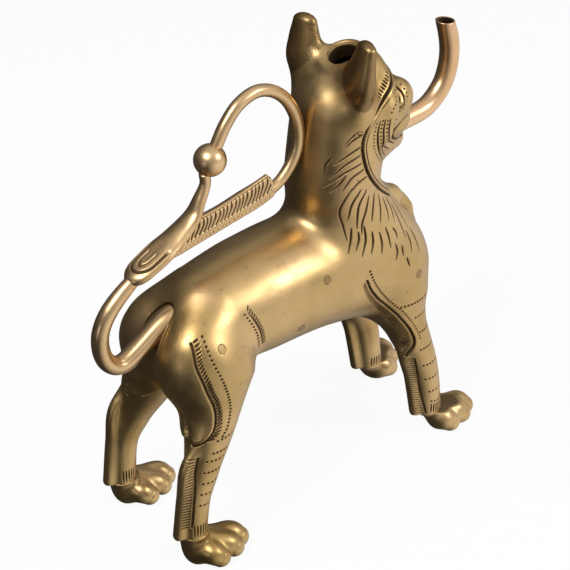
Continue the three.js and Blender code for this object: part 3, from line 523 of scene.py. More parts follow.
def refined(form, points, faces, chasing):
    """The skin with every long edge near a line or dot halved, three times over."""
    distance = chasing.nearest(points)[:, 0]
    for _ in range(3):
        pairs = np.sort(np.concatenate([faces[:, [0, 1]], faces[:, [1, 2]], faces[:, [2, 0]]]), axis=1)
        edges, which = np.unique(pairs, axis=0, return_inverse=True)
        which = which.reshape(3, -1).T
        length = np.linalg.norm(points[edges[:, 0]] - points[edges[:, 1]], axis=1)
        reach = np.minimum(distance[edges[:, 0]], distance[edges[:, 1]])
        marked = (length > FINE_EDGE) & (reach < 0.75 + length * 0.6)
        if not marked.any():
            break
        middle = settled(form, points[edges[marked]].mean(1), 1)
        number = np.full(len(edges), -1)
        number[marked] = len(points) + np.arange(marked.sum())
        distance = np.concatenate([distance, chasing.nearest(middle)[:, 0]])
        points = np.concatenate([points, middle])
        faces = split_faces(faces, number[which])
    return points, faces


def split_faces(faces, middles):
    """Each face split at the edges that have a middle vertex."""
    count = (middles >= 0).sum(1)
    found = [faces[count == 0]]
    for turn in range(3):
        order = [turn, (turn + 1) % 3, (turn + 2) % 3]
        v, m = faces[:, order], middles[:, order]
        one = (count == 1) & (m[:, 0] >= 0)
        a, b, c, ab = v[one, 0], v[one, 1], v[one, 2], m[one, 0]
        found += [np.stack([a, ab, c], 1), np.stack([ab, b, c], 1)]
        two = (count == 2) & (m[:, 2] < 0)
        a, b, c, ab, bc = v[two, 0], v[two, 1], v[two, 2], m[two, 0], m[two, 1]
        found += [np.stack([a, ab, c], 1), np.stack([ab, bc, c], 1), np.stack([ab, b, bc], 1)]
    three = count == 3
    (a, b, c), (ab, bc, ca) = faces[three].T, middles[three].T
    found += [np.stack(s, 1) for s in ((a, ab, ca), (ab, b, bc), (ca, bc, c), (ab, bc, ca))]
    return np.concatenate(found)


# The chased drawing, in the side elevation as (x, z), cut into both flanks
RUFF_RING = [(166, 251), (161, 245), (152, 239), (143, 233), (138, 229), (134.5, 222), (133, 215),
             (134, 207), (136.5, 199), (141.5, 191), (151, 181), (163, 171)]
FORE_SWEEP = [(132.5, 134), (135.5, 127), (142, 118), (150, 109), (158, 99), (166, 87), (169.5, 77),
              (167, 66)]
FORE_DOTS = [(135, 139), (137.5, 131.5), (142, 124), (150.5, 113), (161, 100.5), (169, 88.5), (173, 79)]
FORE_COMB_LINE = [(171.5, 63), (176, 48), (180, 33), (184, 17)]
HIND_SWEEP = [(14.4, 141), (12.8, 134), (12.4, 129.5), (14.7, 117), (18.5, 105), (19.3, 97), (17.5, 89.5),
              (12.5, 83), (5, 78)]
HIND_DOTS = [(21, 143.5), (20.2, 137), (21, 129.5), (23.2, 120.5), (26, 110), (27.5, 100.5), (25.5, 90),
             (22, 85)]
HIND_COMB_LINE = [(8.5, 74), (5.5, 61), (2.8, 46), (1.2, 31)]
HAUNCH_EDGE = [(51, 146), (54, 140), (56.8, 132.5), (58.9, 123)]
LEG_ROWS = [
    [(158, 106), (178, 107)], [(169, 95), (181, 95)], [(173, 83), (182, 83)], [(174, 70), (185, 71)],
    [(177, 57), (188, 58)], [(180, 45), (190, 46)], [(184, 34), (194, 35)], [(186, 26), (196, 24)],
    [(19, 83), (29, 84)], [(16, 76), (25, 76)], [(12, 71.5), (22, 71.5)], [(10, 65), (19, 65)],
    [(8.5, 58.5), (17, 58)], [(7, 52), (15, 51)], [(6, 45), (14, 44)],
]
LOCKS = [
    # beside the ring, combed back and down
    [(136, 228), (131, 225), (124, 218)], [(134, 223), (129, 220.5), (124, 216)],
    [(132.5, 216), (126, 212), (119, 206)], [(132, 211), (124, 206), (117, 198)],
    [(132.5, 206), (123, 201), (115, 193)], [(119, 211), (116.5, 206), (115.5, 200)],
    [(124, 200), (121, 195), (117, 190)], [(134, 202), (127, 198), (122, 191)],
    [(136, 197), (130, 194), (126, 190)],
    # long locks down the throat
    [(127, 192), (123, 185), (121, 178), (123, 168), (124, 160)], [(132, 190), (127, 182), (125, 172)],
    [(136, 189), (131, 180), (130, 172), (130, 166)], [(138, 184), (135.5, 176), (133, 169), (132.5, 162)],
    [(143, 184), (141, 177), (139, 168)], [(147, 181), (147, 174), (145.5, 165)],
    [(151, 177), (153, 170), (153, 163)], [(155, 175), (158, 168), (158, 160)],
    [(160, 169), (163, 159), (165, 148)], [(164, 168), (168, 159), (170, 151)],
    # short tips below them
    [(127, 167), (126, 160), (123, 153)], [(130.5, 164), (130.5, 159), (128, 153.5)],
    [(134, 167), (134.5, 158), (131, 149)], [(149, 161), (150.5, 155), (151, 148)],
    [(155, 158), (157, 155), (157.5, 151)], [(155, 149), (155.5, 144), (153.5, 139.5)],
    [(160, 146), (159.5, 140)], [(162, 138), (163.5, 132)], [(139, 162), (139, 155), (137, 149)],
    [(144, 160), (145, 153), (144, 147)], [(167, 151), (168, 145), (167, 139)],
    [(172, 150), (174, 143), (174, 136)],
]
CHEEK_LINES = [
    [(161, 242), (166.5, 237), (168.5, 232), (166.5, 227), (160, 225), (154.5, 225)],
    [(158, 240.5), (163.5, 235.5), (165.5, 231.5), (163, 228.5), (158, 227.5)],
    [(145.5, 227), (143.5, 220), (144, 213), (147.5, 206), (152, 200), (158, 195)],
    [(148.5, 227), (147, 220), (147.5, 213), (151, 206), (157, 200), (164, 194)],
    [(151.5, 227), (150.5, 220), (151.5, 213), (155.5, 206), (162, 200.5), (169, 195)],
    [(155, 223), (154.5, 218), (156, 212), (160.5, 206), (166, 202), (173, 197)],
]
CHEEK_DOTS = [
    [(157.5, 239), (158, 235), (155, 232.4), (152.5, 230)],
    [(170, 237), (171.5, 232), (169.5, 227), (167, 223.5), (162, 221.5)],
    [(143, 226), (141, 219), (141.5, 212), (145, 205), (149.5, 199.5), (154, 196)],
    [(147, 226.5), (145.3, 219.5), (146, 212.5), (149.5, 205.5), (155, 199.5)],
    [(150, 226), (149, 219), (150, 212), (153.5, 205.5), (160, 199.5), (166, 195.5)],
]
MOUTH_LINE = [(176, 216), (170, 214), (166.5, 209), (168, 204), (174, 200), (182, 198)]
# The fold round the root of the tail, a real groove whose darkening is painted shade at the root, as (x, y,
# z) on the right side, up to the middle plane
SHADED_RUMP_FOLD = [(-1, -7.6, 131), (7, -7.8, 137.5), (14.5, -7.2, 143.5), (20, -4, 148.5), (21.5, 0, 150)]
# Half width and depth of a groove, a fine stroke and a dot
GROOVE, HAIR, DOT = (0.85, 0.7), (0.45, 0.4), (0.85, 0.75)
# The skin stands up beside these lines: which side, how far out, and how high along the line
LIPS = (
    (HIND_SWEEP, -1, 7, ([0, 0.5, 0.8, 1], [0.1, 0.7, 1.9, 2.2])),
    (FORE_SWEEP, 1, 5, ([0, 0.4, 0.8, 1], [0.1, 0.5, 0.8, 0.4])),
    (RUFF_RING, 1, 2.6, ([0, 0.3, 1], [0.9, 0.7, 0.6])),
)


def spaced(points, step=STROKE_STEP):
    """Even places along a smooth line through the points."""
    path = np.asarray(points, float)
    if len(path) > 2:
        path = curve(path, 12 * len(path))
    lengths = lengths_along(path)
    at = np.linspace(0, lengths[-1], max(int(lengths[-1] / step), 1) + 1)
    return np.stack([np.interp(at, lengths, path[:, m]) for m in range(path.shape[1])], 1)


def lengths_along(path):
    return np.concatenate([[0], np.cumsum(np.linalg.norm(np.diff(path, axis=0), axis=1))])


def stride_at(x, z, side):
    """How far ahead the left legs stand, growing from the seam down to the ankle."""
    if side < 0:
        return np.zeros(len(x))
    low = np.clip((LEG_SEAM_Z - z) / (LEG_SEAM_Z - 20), 0, 1)
    return low * np.where(x > MIDWAY_X, FORE_LEAD, HIND_STRIDE[0])


def lip(points, normals, line, side_of_line, reach, heights):
    """How far the skin stands up on one side of a line of the side elevation."""
    path = spaced(line, 0.5)
    along = np.gradient(path, axis=0)
    high = np.interp(np.linspace(0, 1, len(path)), *heights)
    rise = np.zeros(len(points))
    near = (points[:, 0] > path[:, 0].min() - reach * 2) & (points[:, 0] < path[:, 0].max() + reach * 2)
    near &= (points[:, 2] > path[:, 1].min() - 2) & (points[:, 2] < path[:, 1].max() + 2)
    for side in SIDES.values():
        chosen = np.nonzero(near & (normals[:, 1] * side > 0.1))[0]
        places = points[chosen][:, [0, 2]]
        places[:, 0] -= stride_at(places[:, 0], places[:, 1], side)
        away = ((places[:, None] - path[None]) ** 2).sum(2)
        n = away.argmin(1)
        from_line = places - path[n]
        across = (along[n, 0] * from_line[:, 1] - along[n, 1] * from_line[:, 0]) * side_of_line
        distance = np.sqrt(away.min(1))
        shape = np.exp(-(distance / reach) ** 2) * np.clip(across * 4, 0, 1) * np.clip(distance / 1.2, 0, 1)
        rise[chosen] = np.maximum(rise[chosen], shape * high[n])
    return rise


def chased(points, faces, chasing):
    """The skin sunk at the lines and dots, and how dark each vertex is there."""
    normals = normals_of(points, faces)
    rise = sum(lip(points, normals, *each) for each in LIPS)
    points = points + normals * rise[:, None]
    distance, half_width, depth = chasing.nearest(points).T
    near = np.clip(1 - (distance / half_width) ** 2, 0, 1)
    points = points - normals * (near * depth)[:, None]
    return points, np.clip(1.7 - 1.35 * distance / half_width, 0, 1)


def flank(places, side):
    """Places of the side elevation brought onto the skin of one flank."""
    places = np.atleast_2d(places).astype(float)
    x, z = places[:, 0].copy(), places[:, 1]
    x += stride_at(x, z, side)
    y = np.full(len(x), side * 60.0)
    for _ in range(40):
        y = y - side * coated(x, y, z) * 0.9
    lost = (np.abs(coated(x, y, z)) > 0.15) | (y * side < 0)
    y[lost] = np.nan
    return np.stack([x, y, z], 1)


def hatch(base, spacing, gap, lengths, slant):
    """Short strokes that stand off one side of a line, and their slant in degrees."""
    path = spaced(base, spacing)
    strokes = []
    for n in range(len(path)):
        t = n / max(len(path) - 1, 1)
        along = path[min(n + 1, len(path) - 1)] - path[max(n - 1, 0)]
        turn = slant[0] + (slant[1] - slant[0]) * t
        angle = math.atan2(along[1], along[0]) + math.radians(90 + turn)
        way = np.array([math.cos(angle), math.sin(angle)])
        reach = lengths[0] + (lengths[1] - lengths[0]) * t
        strokes.append([path[n] + way * gap, path[n] + way * (gap + reach)])
    return strokes


def beside(line, offset):
    """A line that runs beside another one."""
    path = spaced(line, 1.0)
    along = np.gradient(path, axis=0)
    along /= np.linalg.norm(along, axis=1)[:, None]
    return path + offset * np.stack([-along[:, 1], along[:, 0]], 1)


def circle(centre, radius, count):
    return [(centre[0] + radius * math.cos(a), centre[1] + radius * math.sin(a))
            for a in 2 * math.pi * np.arange(count) / count]


def tapered(places, size):
    """The half width and depth of a stroke that thins out at both ends."""
    t = np.linspace(0, 1, len(places))
    swell = 0.35 + 0.65 * np.sin(np.pi * t ** 0.8) ** 0.7
    return size[0] * swell, size[1] * swell


def drawing():
    """Every line and dot as (places, half width, depth)."""
    found = []

    def line(points, kind=GROOVE):
        found.append((spaced(points), *kind))

    def strokes(paths, kind=HAIR):
        for path in paths:
            places = spaced(path)
            found.append((places, *tapered(places, kind)))

    def dots(rows, spacing=2.15, kind=DOT):
        for row in rows:
            found.extend((place[None], *kind) for place in spaced(row, spacing))

    line(RUFF_RING, (1.0, 0.95))
    line(beside(RUFF_RING[2:], 2.3), (0.6, 0.45))
    strokes(hatch(RUFF_RING[1:6], 1.75, -1.5, (-2.4, -3.4), (0, 10)), (0.6, 0.6))
    strokes(LOCKS, (0.75, 0.65))
    strokes(CHEEK_LINES, (0.7, 0.65))
    dots(CHEEK_DOTS, 2.1, (0.65, 0.55))
    line(MOUTH_LINE, (0.9, 0.8))
    line(FORE_SWEEP)
    strokes(hatch(FORE_SWEEP, 1.6, -1.4, (-2.8, -5.2), (20, 5)), (0.6, 0.55))
    dots([FORE_DOTS])
    line(FORE_COMB_LINE)
    strokes([[place, place - (6.5, -0.8)] for place in spaced(FORE_COMB_LINE, 1.9)])
    line(HIND_SWEEP)
    strokes(hatch(HIND_SWEEP[:-1], 1.9, 1.3, (3.4, 4.4), (38, 60)), (0.7, 0.65))
    dots([HIND_DOTS], 2.1)
    line(HIND_COMB_LINE)
    strokes([[place - (0.6, 0), place - (5.4, 0.4)] for place in spaced(HIND_COMB_LINE, 1.8)], (0.5, 0.45))
    dots(LEG_ROWS)
    strokes([HAUNCH_EDGE], (0.6, 0.4))
    strokes(hatch(HAUNCH_EDGE, 1.7, 0.5, (2.8, 2.2), (40, 40)), (0.5, 0.4))
    dots([[(x - 2.2, z - 0.8) for x, z in HAUNCH_EDGE]], 2.2, (0.75, 0.6))
    for place in PLUG_PLACES.values():
        ring = circle(place, PLUG_D / 2, 39)
        found.append((np.array(ring + ring[:1]), 0.3, 0.2))
    return found


def chase_on_skin(chasing, line, kind):
    places = settled(coated, spaced(line), 8)
    chasing.add(places, *tapered(places, kind))


def chase_ankle(chasing, ankle, radius, low, high, count):
    """A fringe of upright strokes round the back and the sides of an ankle."""
    x, y, z = ankle
    for angle in np.radians(np.linspace(115, -118, count)):
        side = (x + radius * math.cos(angle), y + radius * math.sin(angle))
        chase_on_skin(chasing, [(*side, z + high), (*side, z + low)], (0.5, 0.5))


def chase_lion():
    chasing = Chasing()
    strokes = drawing()
    ends = np.cumsum([len(places) for places, _, _ in strokes])[:-1]
    for side in SIDES.values():
        brought = np.split(flank(np.concatenate([places for places, _, _ in strokes]), side), ends)
        for (_, half_width, depth), places in zip(strokes, brought):
            chasing.add(places, half_width, depth)
        chase_ankle(chasing, hind_ankle(side), HIND_ANKLE_R + 1, 1.5, 10, 19)
        chase_ankle(chasing, fore_ankle(side), FORE_ANKLE_R + 1, 1.5, 9, 21)
    # the fold is cut as a groove and darkened as painted shade at the tail's root
    fold = SHADED_RUMP_FOLD + [(x, -y, z) for x, y, z in SHADED_RUMP_FOLD[-2::-1]]
    chase_on_skin(chasing, fold, (1.1, 0.9))
    chasing.close()
    return chasing


# Meshes: a group is its points, faces, normals and darkening, and the darkening is tarnish in the chased
# lines and painted shade in the paws' folds, the bores and the inner walls
def mesh_object(name, points, faces, normals=None, tarnish_and_shade=None):
    mesh = bpy.data.meshes.new(name)
    placed = (np.asarray(points) + SHIFT) / 1000
    mesh.vertices.add(len(placed))
    mesh.vertices.foreach_set("co", placed.astype(np.float32).ravel())
    faces = np.asarray(faces)
    mesh.loops.add(faces.size)
    mesh.loops.foreach_set("vertex_index", faces.astype(np.int32).ravel())
    mesh.polygons.add(len(faces))
    mesh.polygons.foreach_set("loop_start", np.arange(0, faces.size, faces.shape[1], dtype=np.int32))
    mesh.update(calc_edges=True)
    mesh.polygons.foreach_set("use_smooth", np.full(len(faces), True))
    # the darkening, tarnish in chased lines and painted shade in folds, bores and inner walls, is kept as
    # the chased attribute
    if tarnish_and_shade is not None:
        attribute = mesh.attributes.new("chased", "FLOAT", "POINT")
        attribute.data.foreach_set("value", np.asarray(tarnish_and_shade, np.float32))
    if normals is not None:
        mesh.normals_split_custom_set_from_vertices(np.asarray(normals, np.float32))
    item = bpy.data.objects.new(name, mesh)
    bpy.context.scene.collection.objects.link(item)
    return item


def finish_piece(node, slot, points, faces, normals=None, tarnish_and_shade=None):
    """The finished mesh of one node, with its material."""
    item = mesh_object("fine_" + node, points, faces, normals, tarnish_and_shade)
    item.data.materials.append(SLOTS[slot])
    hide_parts(node)
    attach(item, "root")


def taken(group, chosen):
    """The chosen faces of a group with their own vertices."""
    points, faces, *others = group
    used, which = np.unique(faces[chosen], return_inverse=True)
    return (points[used], which.reshape(-1, 3), *[other[used] for other in others])


def joined(groups):
    starts = np.cumsum([0] + [len(group[0]) for group in groups])
    faces = np.concatenate([group[1] + start for group, start in zip(groups, starts)])
    points, normals, tarnish_and_shade = (np.concatenate([group[m] for group in groups]) for m in (0, 2, 3))
    return points, faces, normals, tarnish_and_shade


def rims(faces):
    """The edges that belong to one face only."""
    pairs = np.concatenate([faces[:, [0, 1]], faces[:, [1, 2]], faces[:, [2, 0]]])
    _, first, count = np.unique(np.sort(pairs, axis=1), axis=0, return_index=True, return_counts=True)
    return pairs[first[count == 1]]


def loops_of(rim):
    after = dict(rim.tolist())
    loops = []
    while after:
        start, n = after.popitem()
        loop = [start]
        while n != start:
            loop.append(n)
            n = after.pop(n)
        loops.append(loop)
    return loops


def walled(points, faces, normals, tarnish_and_shade, thickness=WALL, inner_painted_shade=0.75):
    """A shell of even thickness made from an open skin, its inner wall painted dark as shade."""
    count = len(points)
    rim = rims(faces)
    sides = np.concatenate([
        np.stack([rim[:, 1], rim[:, 0], rim[:, 0] + count], 1),
        np.stack([rim[:, 1], rim[:, 0] + count, rim[:, 1] + count], 1),
    ])
    every = np.concatenate([points, points - normals * thickness])
    faces = np.concatenate([faces, faces[:, ::-1] + count, sides])
    # the inner wall is darkened as painted shade
    darkening_with_inner_shade = np.concatenate([tarnish_and_shade, np.full(count, inner_painted_shade)])
    return every, faces, np.concatenate([normals, -normals]), darkening_with_inner_shade


def cap(points, loop):
    """A flat fan that closes one rim, with a normal of its own."""
    ring = points[loop]
    middle, size = ring.mean(0), len(ring)
    way = np.cross(np.roll(ring, -1, 0) - middle, ring - middle).sum(0)
    way = way / max(np.linalg.norm(way), 1e-9)
    n = np.arange(size)
    faces = np.stack([np.roll(n, -1), n, np.full(size, size)], 1)
    return np.vstack([ring, middle]), faces, np.tile(way, (size + 1, 1)), np.zeros(size + 1)


def capped(group):
    return joined([group] + [cap(group[0], loop) for loop in loops_of(rims(group[1]))])


def grid_faces(rows, columns, wrap=False):
    n = np.arange(rows * columns).reshape(rows, columns)
    right = np.roll(n, -1, 1) if wrap else n[:, 1:]
    left = n if wrap else n[:, :-1]
    a, b, c, d = left[:-1].ravel(), right[:-1].ravel(), right[1:].ravel(), left[1:].ravel()
    return np.concatenate([np.stack([a, b, c], 1), np.stack([a, c, d], 1)])


def sweep(path, sides, closed_ends=True):
    """A rod along [x, z, across, deep] stations in the middle plane."""
    centre, size = path[:, :2], path[:, 2:4] / 2
    ahead = np.gradient(centre, axis=0)
    ahead /= np.linalg.norm(ahead, axis=1)[:, None]
    angle = 2 * math.pi * np.arange(sides) / sides
    deep = size[:, 1:] * np.sin(angle)
    x, z = centre[:, :1] - ahead[:, 1:] * deep, centre[:, 1:] + ahead[:, :1] * deep
    points = np.stack([x, size[:, :1] * np.cos(angle), z], 2).reshape(-1, 3)
    faces = grid_faces(len(path), sides, wrap=True)
    if closed_ends:
        count = len(points)
        n = np.arange(sides)
        last = n + count - sides
        faces = np.concatenate([
            faces,
            np.stack([np.roll(n, -1), n, np.full(sides, count)], 1),
            np.stack([last, np.roll(last, -1), np.full(sides, count + 1)], 1),
        ])
        points = np.vstack([points, [(x, 0, z) for x, z in centre[[0, -1]]]])
    return points, faces


# Shader nodes
class Tree:
    """The nodes of a material or of the world."""

    def __init__(self, owner):
        owner.use_nodes = True
        self.nodes, self.links = owner.node_tree.nodes, owner.node_tree.links

    def put(self, socket, value):
        """A number or a colour is set, and another node's output is linked."""
        if isinstance(value, bpy.types.NodeSocket):
            self.links.new(value, socket)
        else:
            socket.default_value = value

    def node(self, kind, output, inputs, **settings):
        made = self.nodes.new("ShaderNode" + kind)
        for key, value in settings.items():
            setattr(made, key, value)
        for key, value in inputs.items():
            self.put(made.inputs[key], value)
        return made.outputs[output]

    def maths(self, operation, first, second):
        return self.node("Math", 0, {0: first, 1: second}, operation=operation)

    def ramp(self, value, low, high, to_low=0.0, to_high=1.0):
        return self.node("MapRange", "Result", {
            "Value": value, "From Min": low, "From Max": high, "To Min": to_low, "To Max": to_high,
        })

    def noise(self, where, scale, detail, roughness=0.6):
        return self.node("TexNoise", "Fac", {
            "Vector": where, "Scale": scale, "Detail": detail, "Roughness": roughness,
        })

    def mixed(self, factor, first, second):
        return self.node("Mix", "Result", {"Factor": factor, "A": first, "B": second}, data_type="RGBA")

    def chosen(self, factor, first, second):
        return self.node("MixShader", 0, {0: factor, 1: first, 2: second})


# Surfaces of aged brass
ROSY = (0.56, 0.36, 0.215, 1)
SPECK = (0.12, 0.07, 0.03, 1)
STAIN = (0.22, 0.14, 0.06, 1)
# dark brown: tarnish in the chased lines, and painted shade in the folds, the bores and the inner walls
DARK_TARNISH_AND_SHADE = (0.05, 0.03, 0.016, 1)


def material(name, light, dark, rough, worn=0.5):
    """Two cloudy tones with a rosy bloom, specks and blotches of staining, and one dark colour: tarnish in
    the chased lines, and painted shade in the paws' folds, the bores, the inner walls, the fold at the
    tail's root and the groove along the tail.
    """
    made = bpy.data.materials.new(name)
    tree = Tree(made)
    where = tree.node("TexCoord", "Object", {})
    # the chased attribute: tarnish in the chased lines, and painted shade in the folds, the bores and the
    # inner walls
    chasing = tree.node("Attribute", "Fac", {}, attribute_name="chased")
    base = tree.mixed(tree.ramp(tree.noise(where, 14, 5), 0.35, 0.68), (*dark, 1), (*light, 1))
    base = tree.mixed(tree.ramp(tree.noise(where, 30, 3), 0.5, 0.75, 0.0, 0.45), base, ROSY)
    base = tree.mixed(tree.ramp(tree.noise(where, 420, 3, 0.5), 0.66, 0.76, 0.0, worn), base, SPECK)
    base = tree.mixed(tree.ramp(tree.noise(where, 60, 6, 0.7), 0.62, 0.8, 0.0, worn), base, STAIN)
    base = tree.mixed(tree.ramp(chasing, 0.1, 0.9, 0.0, 0.9), base, DARK_TARNISH_AND_SHADE)
    wear = tree.ramp(tree.noise(where, 90, 4), 0.3, 0.7, rough - 0.06, rough + 0.08)
    height = tree.noise(where, 150, 2)
    shader = tree.nodes["Principled BSDF"].inputs
    tree.put(shader["Metallic"], 1.0)
    tree.put(shader["Base Color"], base)
    tree.put(shader["Roughness"], tree.maths("ADD", wear, tree.ramp(chasing, 0.0, 1.0, 0.0, 0.3)))
    bump = tree.node("Bump", "Normal", {"Strength": 0.05, "Distance": 0.0004, "Height": height})
    tree.put(shader["Normal"], bump)
    return made


SLOTS = {
    "cast_brass": material("cast brass", (0.60, 0.42, 0.205), (0.43, 0.285, 0.11), 0.37),
    "handle_brass": material("handle brass", (0.70, 0.49, 0.275), (0.56, 0.38, 0.19), 0.35, 0.35),
    "drawn_brass": material("drawn brass", (0.80, 0.54, 0.33), (0.66, 0.42, 0.22), 0.32, 0.3),
    "plug_brass": material("plug copper", (0.40, 0.27, 0.13), (0.28, 0.18, 0.08), 0.42, 0.7),
}

# The cast body: one skin cut into its castings. The rim of the face mask, in the side elevation as (x, z):
FACE_RIM = np.array([
    (RUFF_X - 6, NECK_SEAM_Z + 3), (RUFF_X - 14, RUFF_Z - 57), (RUFF_X - 21, RUFF_Z - 50),
    (RUFF_X - 25, RUFF_Z - 38), (RUFF_X - 23, RUFF_Z - 26), (RUFF_X - 14, RUFF_Z - 14),
    (RUFF_X - 1, RUFF_Z - 3), (RUFF_X + 6, RUFF_Z + 8), (RUFF_X + 9, RUFF_Z + 20),
], float)
LION_BOX = (-12.5, -52.5, 0.5), (215.5, 55.5, 277.5)
HOLLOW_BOX = (0.25, -45.25, 84.5), (215, 50, 197)
HOLLOW_FLOOR_Z = 98


def in_face(middle):
    rim_x = np.interp(middle[:, 2], FACE_RIM[:, 1], FACE_RIM[:, 0])
    return (middle[:, 2] > NECK_SEAM_Z + 3) & (middle[:, 0] > rim_x)


def in_filler(middle):
    away, height = round_axis(*middle.T)
    return (away < FILLER_BORE / 2 + 1) & (height > -16)


def everywhere(points):
    return np.full(len(points), True)


def build_castings():
    left_ankle_z = HIND_ANKLE_Z + HIND_STRIDE[2]
    levels = [
        (LEG_SEAM_Z, everywhere),
        (NECK_SEAM_Z, lambda p: p[:, 0] < 175),
        (HIND_ANKLE_Z, lambda p: (p[:, 0] < MIDWAY_X) & (p[:, 1] < 0)),
        (left_ankle_z, lambda p: (p[:, 0] < MIDWAY_X) & (p[:, 1] > 0)),
        (FORE_ANKLE_Z, lambda p: p[:, 0] > MIDWAY_X),
    ]
    points, faces = skin(whole, *LION_BOX, LION_CELL, levels)
    chasing = chase_lion()
    points, faces = refined(whole, points, faces, chasing)
    points, tarnish_and_shade = chased(points, faces, chasing)
    skin_group = (points, faces, normals_of(points, faces), tarnish_and_shade)
    middle = points[faces].mean(1)
    x, y, z = middle.T
    ankle = np.where(x < MIDWAY_X, np.where(y > 0, left_ankle_z, HIND_ANKLE_Z), FORE_ANKLE_Z)
    kept = (z > ankle) & ~in_filler(middle)
    leg = kept & (z < LEG_SEAM_Z)
    head_part = kept & (z > NECK_SEAM_Z)
    for side, form in zip(SIDES, ears):
        part = head_part & (z > SKULL_Z)
        part[part] = form(*middle[part].T) < 1.0
        finish_piece("ear_" + side, "cast_brass", *capped(taken(skin_group, part)))
        head_part &= ~part
    face = head_part & in_face(middle)
    finish_piece("neck_shell", "cast_brass", *walled(*taken(skin_group, head_part & ~face)))
    finish_piece("face_mask", "cast_brass", *walled(*taken(skin_group, face)))
    for end, there in (("rear", x < MIDWAY_X), ("front", x >= MIDWAY_X)):
        for side, sign in SIDES.items():
            part = leg & there & ((y > 0) == (sign > 0))
            finish_piece(f"leg_{end}_{side}", "cast_brass", *capped(taken(skin_group, part)))
    # the body takes what is left, and with it the skin of the ears once more
    build_body(*taken(skin_group, kept & ~leg & ~head_part))


def build_body(points, faces, normals, tarnish_and_shade):
    """The outer skin, the hollow inside it, the caps of the legs' sockets and the level lip of the neck."""
    def hollow(x, y, z):
        return np.maximum(lion(x, y, z) + WALL, HOLLOW_FLOOR_Z - z)

    inner = skin(hollow, *HOLLOW_BOX, HOLLOW_CELL, [(NECK_SEAM_Z, everywhere)])
    middle = inner[0][inner[1]].mean(1)
    inner, inner_faces = taken(inner, middle[:, 2] < NECK_SEAM_Z)
    inner_normals = normals_of(inner, inner_faces)
    rim = rims(faces)
    at_neck = points[rim].mean(1)[:, 2] > NECK_SEAM_Z - 2
    outer_loop = loops_of(rim[at_neck])[0]
    inner_loop = max(loops_of(rims(inner_faces)), key=len)
    lip_points = np.vstack([points[outer_loop], inner[inner_loop]])
    lip_faces, count = annulus(lip_points, len(outer_loop)), len(lip_points)
    finish_piece("body_shell", "cast_brass", *joined([
        (points, faces, normals, tarnish_and_shade),
        (inner, inner_faces[:, ::-1], -inner_normals, np.zeros(len(inner))),
        (lip_points, lip_faces, np.tile((0, 0, 1.0), (count, 1)), np.zeros(count)),
        *[cap(points, loop) for loop in loops_of(rim[~at_neck])],
    ]))


def annulus(points, count):
    """Faces between an outer and an inner ring, both level, by their angle about the middle."""
    middle = points[:count].mean(0)
    angle = np.arctan2(points[:, 1] - middle[1], points[:, 0] - middle[0])
    rings = np.argsort(angle[:count]), count + np.argsort(angle[count:])
    at = [0, 0]

    def following(which):
        ring, n = rings[which], at[which]
        vertex = ring[(n + 1) % len(ring)]
        turn = angle[vertex] + (2 * math.pi if n + 1 >= len(ring) else 0)
        return vertex, turn if n < len(ring) else math.inf

    faces = []
    while at[0] < len(rings[0]) or at[1] < len(rings[1]):
        a, b = (ring[n % len(ring)] for ring, n in zip(rings, at))
        (next_a, turn_a), (next_b, turn_b) = following(0), following(1)
        moved = 0 if turn_a <= turn_b else 1
        faces.append((a, (next_a, next_b)[moved], b))
        at[moved] += 1
    return np.array(faces)


# Paws
def paw_field(name, ankle, ahead, length):
    ax, ay, az = ankle
    x, y = ax + ahead, ay + PAW_ASIDE
    heel = ellipsoid((x, y, 6), (10.5 - ahead / 2, PAW_WIDTH / 2 - 3.5, 9))
    instep = limb([(ax, ay, az + 4, 9.3), (x - 1, y - 1, az / 4 + 8.5, 8.4), (x + 8, y, 8, 8)])

    def toe(n):
        across = n / (TOES - 1) - 0.5
        toe_y = y + across * (PAW_WIDTH - 2 * TOE_R + 1)
        toe_x = x + length - 15 - TOE_R - abs(across) * 5 + across * 10
        return limb([
            (x + 4, y + across * 9, 9.5, TOE_R - 1),
            (toe_x, toe_y, 9, TOE_R),
            (toe_x + 4.5, toe_y, 6, TOE_R - 0.6),
        ])

    toes = blend(2, *[toe(n) for n in range(TOES)])
    return turned(blend(4.5, blend(6, heel, instep), toes), (ax, ay), -PAW_TURN[name])


def build_paws():
    sole = 0.02
    for side, sign in SIDES.items():
        for end, ankle, ahead, length in (
            ("rear", hind_ankle(sign), HIND_PAW_AHEAD, HIND_PAW_LENGTH),
            ("front", fore_ankle(sign), FORE_PAW_AHEAD, FORE_PAW_LENGTH),
        ):
            name = f"{end}_{side}"
            form = paw_field(name, ankle, ahead, length)
            x, y, top = ankle

            def cut(x, y, z, form=form, top=top):
                return np.maximum(np.maximum(form(x, y, z), z - top), sole - z)

            points, faces = skin(cut, (x - 26, y - 42, -1.05), (x + 48, y + 32, top + 2), SMALL_CELL)
            points[:, 2] = np.clip(points[:, 2], sole, top)
            # the paws' folds are painted dark as shade
            finish_piece("paw_" + name, "cast_brass", points, faces, None, painted_fold_shade(points, form))


def painted_fold_shade(points, form):
    """How far each vertex lies in a fold, darkened there as painted shade: the form is nearer just outside
    it than on an even surface.
    """
    _, rise = slope(form, points)
    way = rise / np.maximum(np.linalg.norm(rise, axis=1), 1e-6)[:, None]
    out = points + way * 2.0
    return np.clip((2.0 - form(*out.T)) / 1.4 - 0.15, 0, 0.75)


